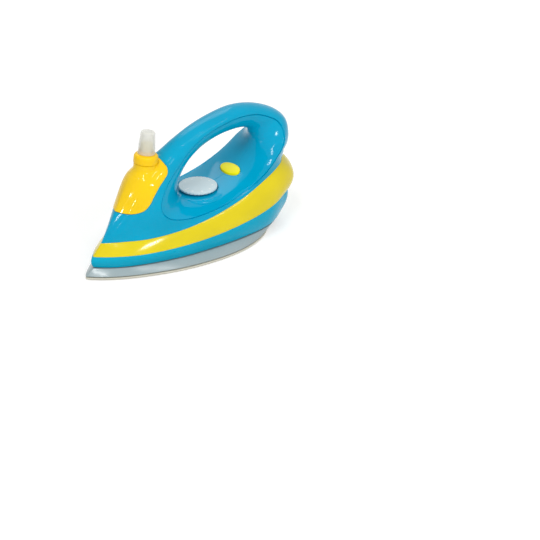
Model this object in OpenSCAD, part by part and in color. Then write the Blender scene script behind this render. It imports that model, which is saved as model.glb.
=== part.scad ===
// Toy steam iron with a working pump sprayer. The nose points to -X, the heel to +X, the sole
// stands on Z = 0 and the halves of the blue body meet on the plane Y = 0. Millimetres.

/* [Overall] */
// Length from the tip of the sole to the back of the grip
iron_l = 208; // [170:1:250]
// Width of the sole
iron_w = 88; // [76:1:104]
// Height to the top of the grip
iron_h = 108; // [98:1:126]
// Wall of the moulded shells
wall = 2.2; // [1.8:0.1:2.6]

/* [Sole] */
// Thickness of the pale sole plate
sole_t = 2.5; // [2:0.1:3.5]
// Rounding under the rim of the sole plate
sole_round = 1.6; // [0.8:0.1:2]
// Height of the sloping grey flange above the plate
flange_h = 6.1; // [5:0.1:8]
// Groove between the plate and the flange
groove = 0.8; // [0.4:0.1:1.2]

/* [Spray tank] */
// Backward lean of the pump, in degrees
pump_tilt = 7; // [0:1:10]
// Radius of the round boss under the collar
boss_r = 9.6; // [9.2:0.1:10]
// Height of the boss above the pump's seat
boss_h = 3.5; // [3:0.1:4]
// Radius of the tank's neck
neck_r = 7.6; // [7.2:0.1:7.8]
// Height of the neck above its boss
neck_h = 4; // [3.5:0.1:5]
// Bore of the neck, as a radius
neck_bore_r = 5.2; // [5:0.1:5.6]
// Radius of the water chamber inside the body
chamber_r = 11.5; // [10.5:0.1:12]
// Depth of the chamber's foot below the pump's seat
chamber_depth = 32; // [28:1:33]
// How far the tank stands proud of the blue shells
tank_proud = 0.35; // [0.2:0.05:0.6]
// Gap between the tank and the shells
tank_gap = 0.25; // [0.15:0.05:0.4]

/* [Sprayer] */
// Outer radius of the collar
collar_r = 10; // [9.9:0.1:10.6]
// Rounding of the collar's top edge
collar_round = 2.4; // [1:0.1:2.6]
// Stroke of the pump
pump_travel = 4; // [2:0.1:4]
// Radius of the pump's bore
bore_r = 3.4; // [3.2:0.1:3.6]
// Radius of the hollow pump stem
stem_r = 1.9; // [1.7:0.1:2]
// Wire of the pump's spring, as a radius
wire_r = 0.3; // [0.25:0.05:0.35]
// Radius of the spray head under the cap
head_r = 4.9; // [4.5:0.1:4.9]
// Height of the spray head
head_h = 7.5; // [6.5:0.1:9]
// Radius of the cap at its foot
cap_r = 7.2; // [7:0.1:7.6]
// Radius of the cap at its top
cap_top_r = 6; // [5.8:0.1:6.6]
// Height of the cap
cap_h = 21; // [18:0.5:24]
// Wall of the cap
cap_wall = 0.9; // [0.7:0.05:0.9]

/* [Dial] */
// Radius of the temperature dial
dial_r = 15.8; // [13:0.1:17]
// Thickness of the dial
dial_t = 1.6; // [1.2:0.1:2.4]
// Gap under the dial's rim
dial_lift = 1.8; // [1.5:0.1:3]
// Radius of the dial's shaft
dial_shaft_r = 4; // [3.5:0.1:4.5]
// Notches round the dial's edge
dial_notches = 30; // [12:1:36]
// Radius of the flat round pad under the dial
pad_r = 22.4; // [19:0.1:24]
// Clicks in one turn of the dial
clicks = 12; // [6:1:14]

/* [Button] */
// Half length of the oval button, across the iron
button_a = 10.7; // [8:0.1:12]
// Half width of the oval button, along the iron
button_b = 5.6; // [4.5:0.1:6.5]
// Slope of the button's top, in degrees
button_slope = 15; // [0:1:16]

/* [Screws] */
// Radius of every screw's shank
screw_r = 1.2; // [1:0.1:1.4]
// Radius of every screw's head
screw_head_r = 2.8; // [2.4:0.1:3]
// Height of every screw's head
screw_head_h = 1.6; // [1.2:0.1:2]

/* [Hidden] */

// Lines of the body, from the photograph. Each row is one station. X is a share of the iron's
// length from the tip of the sole, Y of half its width, and Z of its height.
// The handle's outer ridge, on the parting plane, from the nose tip over the grip to the heel.
ridge_shares = [
    [0.078, 0.000, 0.260], [0.150, 0.000, 0.480], [0.216, 0.000, 0.685], [0.283, 0.000, 0.769],
    [0.370, 0.000, 0.815], [0.452, 0.000, 0.886], [0.538, 0.000, 0.943], [0.635, 0.000, 0.983],
    [0.740, 0.000, 0.999], [0.837, 0.000, 0.964], [0.928, 0.000, 0.884], [0.985, 0.000, 0.784],
    [1.000, 0.000, 0.667], [0.992, 0.000, 0.569], [0.966, 0.000, 0.497]];
// The edge where the blue shells meet the yellow band, from the heel to the nose tip.
edge_shares = [
    [0.966, 0.000, 0.497], [0.916, 0.386, 0.507], [0.858, 0.580, 0.500], [0.779, 0.673, 0.457],
    [0.659, 0.741, 0.391], [0.514, 0.750, 0.333], [0.370, 0.682, 0.296], [0.240, 0.500, 0.274],
    [0.147, 0.245, 0.265], [0.078, 0.000, 0.260]];
// The crease between the rounded outside and the inner dish, all round the handle.
crease_shares = [
    [0.286, 0.534, 0.491], [0.296, 0.489, 0.546], [0.320, 0.450, 0.620], [0.356, 0.386, 0.671],
    [0.413, 0.295, 0.727], [0.476, 0.250, 0.815], [0.553, 0.239, 0.887], [0.644, 0.239, 0.930],
    [0.731, 0.239, 0.943], [0.822, 0.239, 0.914], [0.897, 0.277, 0.841], [0.920, 0.341, 0.790],
    [0.923, 0.420, 0.736], [0.913, 0.500, 0.685], [0.889, 0.575, 0.644], [0.858, 0.620, 0.602],
    [0.815, 0.655, 0.539], [0.757, 0.686, 0.476], [0.668, 0.718, 0.415], [0.538, 0.727, 0.373],
    [0.418, 0.691, 0.361], [0.337, 0.643, 0.387], [0.298, 0.591, 0.431]];
// The handle's opening, on the parting plane.
opening_shares = [
    [0.438, 0.000, 0.481], [0.435, 0.000, 0.528], [0.442, 0.000, 0.574], [0.454, 0.000, 0.620],
    [0.476, 0.000, 0.671], [0.510, 0.000, 0.722], [0.567, 0.000, 0.778], [0.644, 0.000, 0.813],
    [0.721, 0.000, 0.819], [0.774, 0.000, 0.806], [0.805, 0.000, 0.776], [0.821, 0.000, 0.731],
    [0.825, 0.000, 0.681], [0.817, 0.000, 0.632], [0.802, 0.000, 0.586], [0.780, 0.000, 0.544],
    [0.752, 0.000, 0.508], [0.716, 0.000, 0.478], [0.663, 0.000, 0.448], [0.591, 0.000, 0.424],
    [0.519, 0.000, 0.413], [0.469, 0.000, 0.421], [0.445, 0.000, 0.449]];
// How round the outside is from ridge to crease (1 is a quarter ellipse, 0 is straight), and
// how full the dish is from crease to opening (2 is a quarter ellipse, 1 a shallow crown).
fullness_shares = [
    [0.15, 1.2], [0.6, 1.4], [0.88, 1.5], [1, 1.6], [1, 1.8], [1, 2], [1, 2], [1, 2],
    [1, 2], [1, 2], [0.95, 1.9], [0.8, 1.8], [0.65, 1.8], [0.5, 1.8], [0.35, 1.8], [0.15, 1.7],
    [0, 1.5], [0, 1.3], [0, 1.1], [0, 1], [0, 1], [0, 1], [0, 1]];

// Rows of the lower body, ten stations each, from the nose to the heel.
band_mid_shares = [
    [0.063, 0.000, 0.227], [0.125, 0.273, 0.226], [0.216, 0.523, 0.231], [0.356, 0.732, 0.245],
    [0.510, 0.845, 0.269], [0.659, 0.859, 0.313], [0.784, 0.795, 0.355], [0.892, 0.670, 0.378],
    [0.966, 0.450, 0.380], [1.000, 0.000, 0.380]];
band_foot_shares = [
    [0.038, 0.000, 0.171], [0.101, 0.295, 0.176], [0.202, 0.564, 0.178], [0.346, 0.773, 0.185],
    [0.505, 0.884, 0.199], [0.659, 0.909, 0.225], [0.784, 0.836, 0.250], [0.875, 0.655, 0.262],
    [0.935, 0.443, 0.267], [0.959, 0.000, 0.269]];
skirt_mid_shares = [
    [0.028, 0.000, 0.132], [0.096, 0.295, 0.132], [0.197, 0.559, 0.132], [0.341, 0.764, 0.135],
    [0.500, 0.870, 0.142], [0.654, 0.900, 0.154], [0.779, 0.836, 0.165], [0.868, 0.650, 0.171],
    [0.930, 0.439, 0.172], [0.948, 0.000, 0.172]];
skirt_foot_shares = [
    [0.040, 0.000], [0.106, 0.284], [0.207, 0.511], [0.346, 0.711],
    [0.500, 0.814], [0.649, 0.836], [0.769, 0.777], [0.851, 0.609],
    [0.894, 0.375], [0.911, 0.000]];
sole_shares = [
    [0.000, 0.000], [0.067, 0.302], [0.173, 0.591], [0.327, 0.864],
    [0.471, 0.989], [0.596, 1.000], [0.702, 0.886], [0.784, 0.682],
    [0.834, 0.398], [0.851, 0.000]];
// The tank's lower edge, seen from the side, from before the nose to above the handle.
tank_line_shares = [
    [0.096, 0.000, 0.505], [0.139, 0.000, 0.485], [0.183, 0.000, 0.474], [0.224, 0.000, 0.493],
    [0.251, 0.000, 0.541], [0.269, 0.000, 0.594], [0.296, 0.000, 0.654], [0.327, 0.000, 0.693],
    [0.352, 0.000, 0.722], [0.363, 0.000, 0.778], [0.363, 0.000, 0.889]];
// Screws between the shells (X and Z, and the length of the boss as a share of half the width).
shell_screw_shares = [[0.202, 0.370, 0.291], [0.433, 0.778, 0.213], [0.894, 0.778, 0.258],
    [0.894, 0.556, 0.407]];
// Screws from below: X, Y, the top of the skirt's post and the top of the shell's boss.
base_screw_shares = [[0.202, 0.136, 0.165, 0.370], [0.779, 0.318, 0.235, 0.510]];
sole_screw_shares = [[0.300, 0.000], [0.620, 0.545], [0.620, -0.545]];
pump_seat_share = [0.297, 0.740];
dial_share = [0.556, 0.415];
button_share = [0.719, 0.491];
flange_share = 0.9;             // how far the flange slopes in to the skirt's foot
nose_blunt_share = 0.3;         // how blunt a row's nose is, of its first width
heel_blunt_share = 1.2;         // how blunt a row's heel is, of its last width
boss_wall_share = 0.8;          // wall round a shell screw's head
chamber_wall_share = 0.85;      // wall of the water chamber
wheel_bore_share = 0.65;        // bore of the click wheel, of the dial's shaft
button_h_share = 0.074;         // height of the button, flange and all
spring_room_share = 0.078;      // height of the button's spring
boss_reach_share = 0.043;       // how far the bracket's bosses reach up into the saddle

between = 3;                    // steps between two stations
outer_steps = 5;                // rows from ridge to crease
dish_steps = 5;                 // rows from crease to opening
crease_step = 0.5;              // depth of the step along the crease
seat_gap = 0.05;                // gap between pieces that are clamped together
run_fit = 0.06;                 // clearance of shafts that turn or slide
fit = 0.3;                      // clearance round pieces that move
cut = 1;                        // overrun of every cut

// A point of a table at its real place.
function place(s) = [(s[0] - 1 / 2) * iron_l, s[1] * iron_w / 2, len(s) > 2 ? s[2] * iron_h : 0];
function places(table) = [for (s = table) place(s)];
function lerp(a, b, t) = a * (1 - t) + b * t;
function unit(v) = v / max(norm(v), 1e-9);

// A smooth curve through points, with its first and last directions given.
function hermite(a, b, m, n, t) = a * (2 * t * t * t - 3 * t * t + 1) + m * (t * t * t - 2 * t * t + t)
    + b * (3 * t * t - 2 * t * t * t) + n * (t * t * t - t * t);
function slope(p, i, first, last) = i == 0 ? first : i == len(p) - 1 ? last : (p[i + 1] - p[i - 1]) / 2;
function spline(p, first, last) = concat([for (i = [0 : len(p) - 2], k = [0 : between - 1])
    hermite(p[i], p[i + 1], slope(p, i, first, last), slope(p, i + 1, first, last), k / between)],
    [p[len(p) - 1]]);
function free_spline(p) = let (n = len(p) - 1) spline(p, p[1] - p[0], p[n] - p[n - 1]);
function around(p, i) = p[(i + len(p)) % len(p)];
function loop_spline(p) = [for (i = [0 : len(p) - 1], k = [0 : between - 1])
    hermite(p[i], around(p, i + 1), (around(p, i + 1) - around(p, i - 1)) / 2,
        (around(p, i + 2) - p[i]) / 2, k / between)];

// Half a row of the hull, whose ends cross the parting plane square.
function row(p) = let (n = len(p) - 1)
    spline(p, [0, p[1][1] * nose_blunt_share, 0], [0, -p[n - 1][1] * heel_blunt_share, 0]);
function reversed(p) = [for (i = [len(p) - 1 : -1 : 0]) p[i]];
function flipped(p) = [for (q = p) [q[0], -q[1], q[2]]];
// A closed ring from half a row, counter-clockwise seen from above.
function ring(half) = concat(flipped(half), [for (i = [len(half) - 2 : -1 : 1]) half[i]]);
function lifted(r, dz) = [for (q = r) [q[0], q[1], q[2] + dz]];
function level(r, z) = [for (q = r) [q[0], q[1], z]];
// A ring on the way from a through b to c.
function through(a, b, c, t) = [for (i = [0 : len(a) - 1])
    a[i] * (2 * t - 1) * (t - 1) + b[i] * 4 * t * (1 - t) + c[i] * t * (2 * t - 1)];
function centre(r) = [for (q = r) 1 / len(r)] * r;
// A ring drawn in towards its middle, so that a pointed nose never folds over.
function shrunk(r, d) = let (c = centre(r), k = 1 - 2 * d / iron_w)
    [for (q = r) [c[0] + (q[0] - c[0]) * k, c[1] + (q[1] - c[1]) * k, q[2]]];
function mixed(a, b, t) = [for (i = [0 : len(a) - 1]) lerp(a[i], b[i], t)];

// A skin over rings of equal length. Closed joins the last ring to the first.
module loft(rings, closed = false) {
    m = len(rings);
    n = len(rings[0]);
    walls = [for (i = [0 : closed ? m - 1 : m - 2], j = [0 : n - 1], h = [0, 1])
        let (a = i * n + j, b = i * n + (j + 1) % n, k = ((i + 1) % m) * n)
        h == 0 ? [a, k + j, k + (j + 1) % n] : [a, k + (j + 1) % n, b]];
    caps = closed ? [] : [[for (j = [0 : n - 1]) j], [for (j = [n - 1 : -1 : 0]) (m - 1) * n + j]];
    polyhedron([for (r = rings) each r], concat(walls, caps));
}

// Rows of the blue shell, with Y taken as positive. Each station runs from the outer rim over
// the crease into the dish and up to the opening.
ridge = free_spline(places(ridge_shares));
edge = reversed(row(reversed(places(edge_shares))));
rim = concat([for (i = [0 : len(ridge) - 2]) ridge[i]], [for (i = [0 : len(edge) - 2]) edge[i]]);
crease = loop_spline(places(crease_shares));
opening = loop_spline(places(opening_shares));
full = loop_spline([for (f = fullness_shares) [f[0], f[1], 0]]);
stations = len(rim);
skin_rows = outer_steps + dish_steps + 2;

function outer_point(i, t) = let (w = full[i][0], o = rim[i], c = crease[i],
    y = lerp(t, sin(90 * t), w), f = lerp(t, 1 - cos(90 * t), w))
    [lerp(o[0], c[0], f), lerp(o[1], c[1], y), lerp(o[2], c[2], f)];
function dish_point(i, t) = let (c = crease[i], h = opening[i],
    y = cos(90 * t), f = pow(1 - y * y, 1 / full[i][1]))
    [lerp(c[0], h[0], f), max(0, c[1] - crease_step) * y, lerp(c[2], h[2], f)];
skin = [for (i = [0 : stations - 1]) concat(
    [for (k = [0 : outer_steps]) outer_point(i, k / outer_steps)],
    [for (k = [0 : dish_steps]) dish_point(i, k / dish_steps)])];

function on_plane(p) = p[1] < crease_step / 5;
function skin_normal(i, k) = let (p = skin[i][k],
    du = around(skin, i + 1)[k] - around(skin, i - 1)[k],
    dv = skin[i][min(k + 1, skin_rows - 1)] - skin[i][max(k - 1, 0)],
    n = cross(du, dv))
    unit(on_plane(p) ? [n[0], 0, n[2]] : n);
function offset_point(i, k, d) = let (q = skin[i][k] + d * skin_normal(i, k))
    [q[0], on_plane(skin[i][k]) ? 0 : max(0, q[1]), q[2]];
lining = [for (i = [0 : stations - 1]) [for (k = [0 : skin_rows - 1]) offset_point(i, k, -wall)]];

module shell_wall() {
    n = skin_rows;
    m = stations;
    points = concat([for (s = skin) each flipped(s)], [for (s = lining) each flipped(s)]);
    inner = m * n;
    faces = [for (i = [0 : m - 1], k = [0 : n - 2], h = [0, 1])
        let (a = i * n + k, b = ((i + 1) % m) * n + k)
        h == 0 ? [a, b, b + 1] : [a, b + 1, a + 1]];
    back = [for (f = faces) [f[0] + inner, f[2] + inner, f[1] + inner]];
    rims = [for (i = [0 : m - 1], h = [0, 1], s = [0, 1])
        let (a = i * n + (s == 0 ? 0 : n - 1), b = ((i + 1) % m) * n + (s == 0 ? 0 : n - 1),
            f = h == 0 ? [b, a, a + inner] : [b, a + inner, b + inner])
        s == 0 ? f : [f[0], f[2], f[1]]];
    polyhedron(points, concat(faces, back, rims));
}

// Round pieces
module rod(r, z0, z1) { translate([0, 0, z0]) cylinder(r = r, h = z1 - z0, $fn = 64); }
module tube(r, bore, z0, z1) {
    difference() {
        rod(r, z0, z1);
        rod(bore, z0 - cut, z1 + cut);
    }
}
// A screw whose head stands below z, driven upwards.
module screw(z, length) {
    rod(screw_head_r, z - screw_head_h, z);
    rod(screw_r, z - screw_head_h / 2, z + length);
}
// A child turned to point along -Y, from the plane Y = 0 towards the near side.
module sideways(s) {
    p = place([s[0], 0, s[1]]);
    translate(p) rotate([90, 0, 0]) children();
}
// Only what lies on the near side of the parting plane.
module near_half() {
    intersection() {
        children();
        translate([-iron_l, -iron_w, 0]) cube([2 * iron_l, iron_w, 2 * iron_h]);
    }
}

// Sizes of the screws' bosses
pilot_r = screw_r + seat_gap;
clear_r = screw_r + fit;
shell_boss_r = screw_head_r + boss_wall_share * wall;
post_r = screw_r + wall;
sink_r = screw_head_r + fit;
head_seat = wall + cut;         // floor under a shell screw's head, from the parting plane
flange_top = sole_t + flange_h;
base_seat = sole_t + flange_h / 2;
base_bite = 9;                  // grip of a base screw in the shell's boss
sole_bite = 4.5;                // grip of a sole screw in the skirt's boss
shell_bite = 6;                 // grip of a shell screw in the left boss

module base_positions() {
    for (s = base_screw_shares, side = [-1, 1])
        translate([place(s)[0], side * place(s)[1], 0]) {
            $post_top = s[2] * iron_h;
            $boss_top = s[3] * iron_h;
            children();
        }
}
module sole_positions() { for (s = sole_screw_shares) translate(place(s)) children(); }

// Shells
dial_x = place(dial_share)[0];
pad_top = dial_share[1] * iron_h;
pad_h = 2 * wall;
well_h = 0.3;                   // depth of the well under the dial
well_gap = 0.8;                 // gap round the dial where the saddle rises behind it
pad_slope = 1.6;                // run of the pad's soft edge
pad_round = 0.8;                // height of the pad's rounded shoulder
button_x = place(button_share)[0];
button_top = button_share[1] * iron_h;
button_flange = 1.6;            // flange that keeps the button in
button_h = button_h_share * iron_h;
button_foot = button_top - button_h;
bracket_y = 3 / 8 * iron_w / 2; // from the parting plane to a bracket screw
bracket_top = button_foot - spring_room_share * iron_h;
bracket_t = wall;
boss_reach = boss_reach_share * iron_h;

module dial_pad() {
    translate([dial_x, 0, pad_top - pad_h]) rotate_extrude($fn = 96) polygon([[0, 0],
        [pad_r + pad_slope, 0], [pad_r + pad_slope / 2, pad_h / 2], [pad_r, pad_h - pad_round],
        [pad_r - pad_round, pad_h], [0, pad_h]]);
}
module oval(grow, z0, z1) {
    translate([button_x, 0, z0]) linear_extrude(z1 - z0)
        scale([(button_b + grow) / (button_a + grow), 1]) circle(r = button_a + grow, $fn = 64);
}
module bracket_positions() {
    for (side = [-1, 1]) translate([button_x, side * bracket_y, 0]) children();
}

// One half of the blue body, on the near side. The far one is mirrored and takes the heads.
module shell(takes_heads) {
    difference() {
        union() {
            shell_wall();
            near_half() dial_pad();
            near_half() bracket_positions() rod(post_r, bracket_top, button_foot + boss_reach);
            near_half() base_positions() rod(post_r, $post_top, $boss_top);
            for (s = shell_screw_shares) sideways(s) rod(shell_boss_r, 0, s[2] * iron_w / 2);
            if (!takes_heads) translate([dial_x + leaf_x, -leaf_y, 0])
                rod(post_r, leaf_top, pad_top - pad_h / 2);
        }
        tank_prism(tank_gap);
        translate([dial_x, 0, 0]) rod(dial_r + well_gap, pad_top - well_h, pad_top + 2 * pad_h);
        translate([dial_x, 0, 0]) rod(dial_shaft_r + run_fit, pad_top - 2 * pad_h, pad_top + cut);
        oval(fit, button_foot, button_top + pad_h);
        bracket_positions() rod(pilot_r, bracket_top - cut, bracket_top + screw_bite);
        base_positions() rod(pilot_r, $post_top - cut, $post_top + base_bite + cut / 2);
        if (!takes_heads) translate([dial_x + leaf_x, -leaf_y, 0])
            rod(pilot_r, leaf_top - cut, leaf_top + screw_bite / 2);
        for (s = shell_screw_shares) sideways(s) {
            rod(takes_heads ? clear_r : pilot_r, -cut, takes_heads ? iron_w / 2 : shell_bite + cut / 2);
            if (takes_heads) rod(sink_r, head_seat, iron_w / 2);
        }
    }
}
module left_shell() { color("#0293bd") shell(false); }
module right_shell() { color("#0293bd") mirror([0, 1, 0]) shell(true); }

// Lower body
edge_start = len(ridge) - 1;
lining_edge = [for (i = [0 : len(edge) - 1]) lining[(edge_start + len(edge) - 1 - i) % stations][0]];

module sole_plate() {
    outline = ring(row(places(sole_shares)));
    color("#dcdcd4") difference() {
        loft([
            shrunk(outline, sole_round),
            lifted(shrunk(outline, sole_round / 4), sole_round / 2),
            lifted(outline, sole_round),
            lifted(outline, sole_t)]);
        base_positions() rod(sink_r, -cut, sole_t + cut);
        sole_positions() {
            rod(sink_r, -cut, screw_head_h + seat_gap);
            rod(clear_r, -cut, sole_t + cut);
        }
    }
}

module sole_flange() {
    outline = ring(row(places(sole_shares)));
    top = mixed(outline, ring(row(places(skirt_foot_shares))), flange_share);
    color("#9fb6bb") difference() {
        union() {
            loft([
                level(shrunk(top, wall), flange_top - wall),
                level(shrunk(outline, groove + wall), sole_t),
                level(shrunk(outline, groove), sole_t),
                level(outline, sole_t + groove),
                level(top, flange_top)]);
            base_positions() rod(sink_r + wall, sole_t, flange_top - wall / 2);
            sole_positions() rod(post_r, sole_t, flange_top - wall / 2);
        }
        base_positions() {
            rod(sink_r, sole_t - cut, base_seat);
            rod(clear_r, sole_t - cut, flange_top + cut);
        }
        sole_positions() rod(clear_r, sole_t - cut, flange_top + cut);
    }
}

module lower_skirt() {
    foot = level(ring(row(places(skirt_foot_shares))), flange_top);
    middle = ring(row(places(skirt_mid_shares)));
    top = ring(row(places(band_foot_shares)));
    color("#02a8cc") difference() {
        union() {
            loft(concat(
                [for (t = [0 : 1 / 5 : 1]) through(foot, middle, top, t)],
                [for (t = [1, 1 / 2]) shrunk(through(foot, middle, top, t), wall)],
                [lifted(shrunk(foot, wall), wall)]));
            base_positions() rod(post_r, flange_top + wall / 2, $post_top - seat_gap);
            sole_positions() rod(post_r, flange_top + wall / 2, flange_top + sole_bite + cut);
        }
        base_positions() rod(clear_r, flange_top - cut, $post_top + cut);
        sole_positions() rod(pilot_r, flange_top - cut, flange_top + sole_bite + cut / 2);
    }
}

module waist_band() {
    foot = ring(row(places(band_foot_shares)));
    middle = ring(row(places(band_mid_shares)));
    top = ring(reversed(edge));
    color("#e8d924") loft(concat(
        [for (t = [0 : 1 / 5 : 1]) lifted(through(foot, middle, top, t), t < 1 / 2 ? seat_gap : -seat_gap)],
        [lifted(ring(lining_edge), -seat_gap)],
        [shrunk(middle, wall), lifted(shrunk(foot, wall), seat_gap)]), closed = true);
}

// Spray tank. Heights along the pump's leaning axis are counted from its seat.
pump_seat = [place([pump_seat_share[0], 0])[0], 0, pump_seat_share[1] * iron_h];
module on_pump() { translate(pump_seat) rotate([0, pump_tilt, 0]) children(); }

tank_line = free_spline(places(tank_line_shares));
tank_stations = 4 * between + 2;
function side_normal(i) = let (n = len(tank_line) - 1,
    d = tank_line[min(i + 1, n)] - tank_line[max(i - 1, 0)]) unit([d[2], 0, -d[0]]);
// All that lies above the tank's lower edge, moved outwards by d.
module tank_prism(d) {
    line = [for (i = [0 : len(tank_line) - 1]) tank_line[i] + d * side_normal(i)];
    front = -iron_l / 2;
    rotate([90, 0, 0]) linear_extrude(iron_w, center = true)
        polygon(concat([[front, line[0][2]]], [for (q = line) [q[0], q[2]]],
            [[line[len(line) - 1][0], iron_h], [front, iron_h]]));
}
module tank_form(d) {
    half = [for (i = [0 : tank_stations]) [for (k = [0 : outer_steps]) offset_point(i, k, d)]];
    rings = [for (h = half) concat(flipped(h), [for (k = [outer_steps : -1 : 1]) h[k]])];
    n = len(rings[0]);
    m = len(rings);
    walls = [for (i = [0 : m - 2], j = [0 : n - 1], s = [0, 1])
        let (a = i * n + j, b = i * n + (j + 1) % n)
        s == 0 ? [a, a + n, b + n] : [a, b + n, b]];
    ends = [for (j = [0 : n - 1], s = [0, 1])
        s == 0 ? [j, (j + 1) % n, m * n] : [(m - 1) * n + (j + 1) % n, (m - 1) * n + j, m * n + 1]];
    polyhedron(concat([for (r = rings) each r], [centre(rings[0]), centre(rings[m - 1])]),
        concat(walls, ends));
}

boss_flare = 3.2;               // flare at the foot of the boss
neck_top = boss_h + neck_h;
gasket_t = 0.6;
gasket_top = neck_top + gasket_t;
housing_rim = 1;                // rim of the pump housing
housing_top = gasket_top + housing_rim;
retainer_top = housing_top + housing_rim;
lid_t = 1;                      // lid of the collar
collar_foot = boss_h + fit;
collar_top = retainer_top + 2 * seat_gap + lid_t;
chamber_top = -chamber_r + wall;
chamber_wall = chamber_wall_share * wall;

module spray_tank() {
    color("#f6d218") difference() {
        union() {
            difference() {
                intersection() {
                    tank_form(tank_proud);
                    tank_prism(0);
                }
                on_pump() rod(collar_r + 2 * fit, boss_h, collar_top + cap_h);
            }
            on_pump() {
                translate([0, 0, -boss_h]) cylinder(r1 = boss_r + boss_flare, r2 = boss_r, h = boss_h, $fn = 64);
                rod(boss_r, -cut, boss_h);
                rod(neck_r, 0, neck_top);
                rod(chamber_r, -chamber_depth, chamber_top);
            }
        }
        intersection() {
            tank_form(-wall);
            tank_prism(-wall);
        }
        on_pump() {
            rod(chamber_r - chamber_wall, chamber_wall - chamber_depth, chamber_top + cut);
            rod(neck_bore_r, chamber_top - cut, neck_top + cut);
        }
    }
}

// Pump
module neck_gasket() { color("#3a3c3e") on_pump() tube(neck_r - fit, neck_bore_r - fit, neck_top, gasket_top); }

barrel_r = bore_r + 1;
barrel_l = 18;
barrel_foot = gasket_top - barrel_l;
inlet_r = 1.2;
nipple_r = stem_r;
nipple_l = 4;
plug_h = 3;                     // plug of the retainer in the bore
piston_h = 3;
piston_top = housing_top - plug_h - 2 * seat_gap;
spring_foot = barrel_foot + 1;
spring_top = piston_top - piston_h;
module pump_housing() {
    color("#e9e9e2") on_pump() difference() {
        union() {
            rod(neck_r - fit, gasket_top, housing_top);
            rod(barrel_r, barrel_foot, housing_top);
            rod(nipple_r, barrel_foot - nipple_l, barrel_foot + lid_t / 2);
        }
        rod(bore_r, spring_foot, housing_top + cut);
        rod(inlet_r, barrel_foot - nipple_l - cut, spring_foot + cut);
    }
}
module pump_retainer() {
    color("#dfe0da") on_pump() difference() {
        union() {
            rod(neck_r - fit, housing_top, retainer_top);
            rod(bore_r - seat_gap, housing_top - plug_h, housing_top + seat_gap);
        }
        rod(stem_r + run_fit, housing_top - plug_h - cut, retainer_top + cut);
    }
}
ball_r = 1.6;
module inlet_ball() {
    color("#b9bdc0") on_pump() translate([0, 0, spring_foot + sqrt(ball_r * ball_r - inlet_r * inlet_r)])
        sphere(r = ball_r, $fn = 32);
}
tube_r = 2.6;
module dip_tube() {
    color("#eceadf") on_pump() tube(tube_r, nipple_r + seat_gap,
        chamber_wall - chamber_depth + cut, barrel_foot - lid_t);
}

// A wound spring of round wire, standing on z = 0.
coil_sides = 8;
coil_turn = 16;
module coil(r, wire, turns, h) {
    steps = turns * coil_turn;
    rise = h - 2 * wire;
    points = [for (i = [0 : steps], j = [0 : coil_sides - 1])
        let (a = 360 * i / coil_turn, b = 360 * j / coil_sides, q = r + wire * cos(b))
        [q * cos(a), q * sin(a), wire + rise * i / steps + wire * sin(b)]];
    walls = [for (i = [0 : steps - 1], j = [0 : coil_sides - 1], s = [0, 1])
        let (a = i * coil_sides + j, b = i * coil_sides + (j + 1) % coil_sides)
        s == 0 ? [a, b, b + coil_sides] : [a, b + coil_sides, a + coil_sides]];
    ends = [[for (j = [coil_sides - 1 : -1 : 0]) j], [for (j = [0 : coil_sides - 1]) steps * coil_sides + j]];
    polyhedron(points, concat(walls, ends));
}
spring_turns = 6;
module pump_spring() {
    color("#c4c8ca") on_pump() translate([0, 0, spring_foot])
        coil(bore_r - 2 * fit - wire_r, wire_r, spring_turns, spring_top - spring_foot);
}

head_foot = collar_top + pump_travel - 2 * fit;
head_top = head_foot + head_h;
stem_top = head_foot + head_h / 2;
duct_r = 0.9;
module pump_stem() {
    color("#f0efe6") on_pump() difference() {
        union() {
            rod(bore_r - run_fit, spring_top, piston_top);
            rod(stem_r, piston_top - cut, stem_top);
        }
        rod(duct_r, spring_top - cut, stem_top + cut);
    }
}
nozzle_r = 1.7;
nozzle_z = (stem_top + head_top) / 2;
dish_r = 2 * head_h;
module spray_head() {
    color("#f1efe2") on_pump() difference() {
        rod(head_r, head_foot, head_top);
        rod(stem_r + seat_gap, head_foot - cut, stem_top);
        rod(duct_r, stem_top - cut, nozzle_z);
        translate([0, 0, nozzle_z]) rotate([0, -90, 0]) rod(duct_r, -duct_r, head_r);
        translate([0, 0, nozzle_z]) rotate([0, -90, 0]) rod(nozzle_r, head_r - nozzle_r, head_r + cut);
        translate([0, 0, head_top + dish_r - cut]) sphere(r = dish_r, $fn = 64);
    }
}
module nozzle_insert() {
    color("#dcdccf") on_pump() translate([0, 0, nozzle_z]) rotate([0, -90, 0])
        tube(nozzle_r - seat_gap, duct_r / 2, head_r - nozzle_r + seat_gap, head_r - nozzle_r / 8);
}

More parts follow.
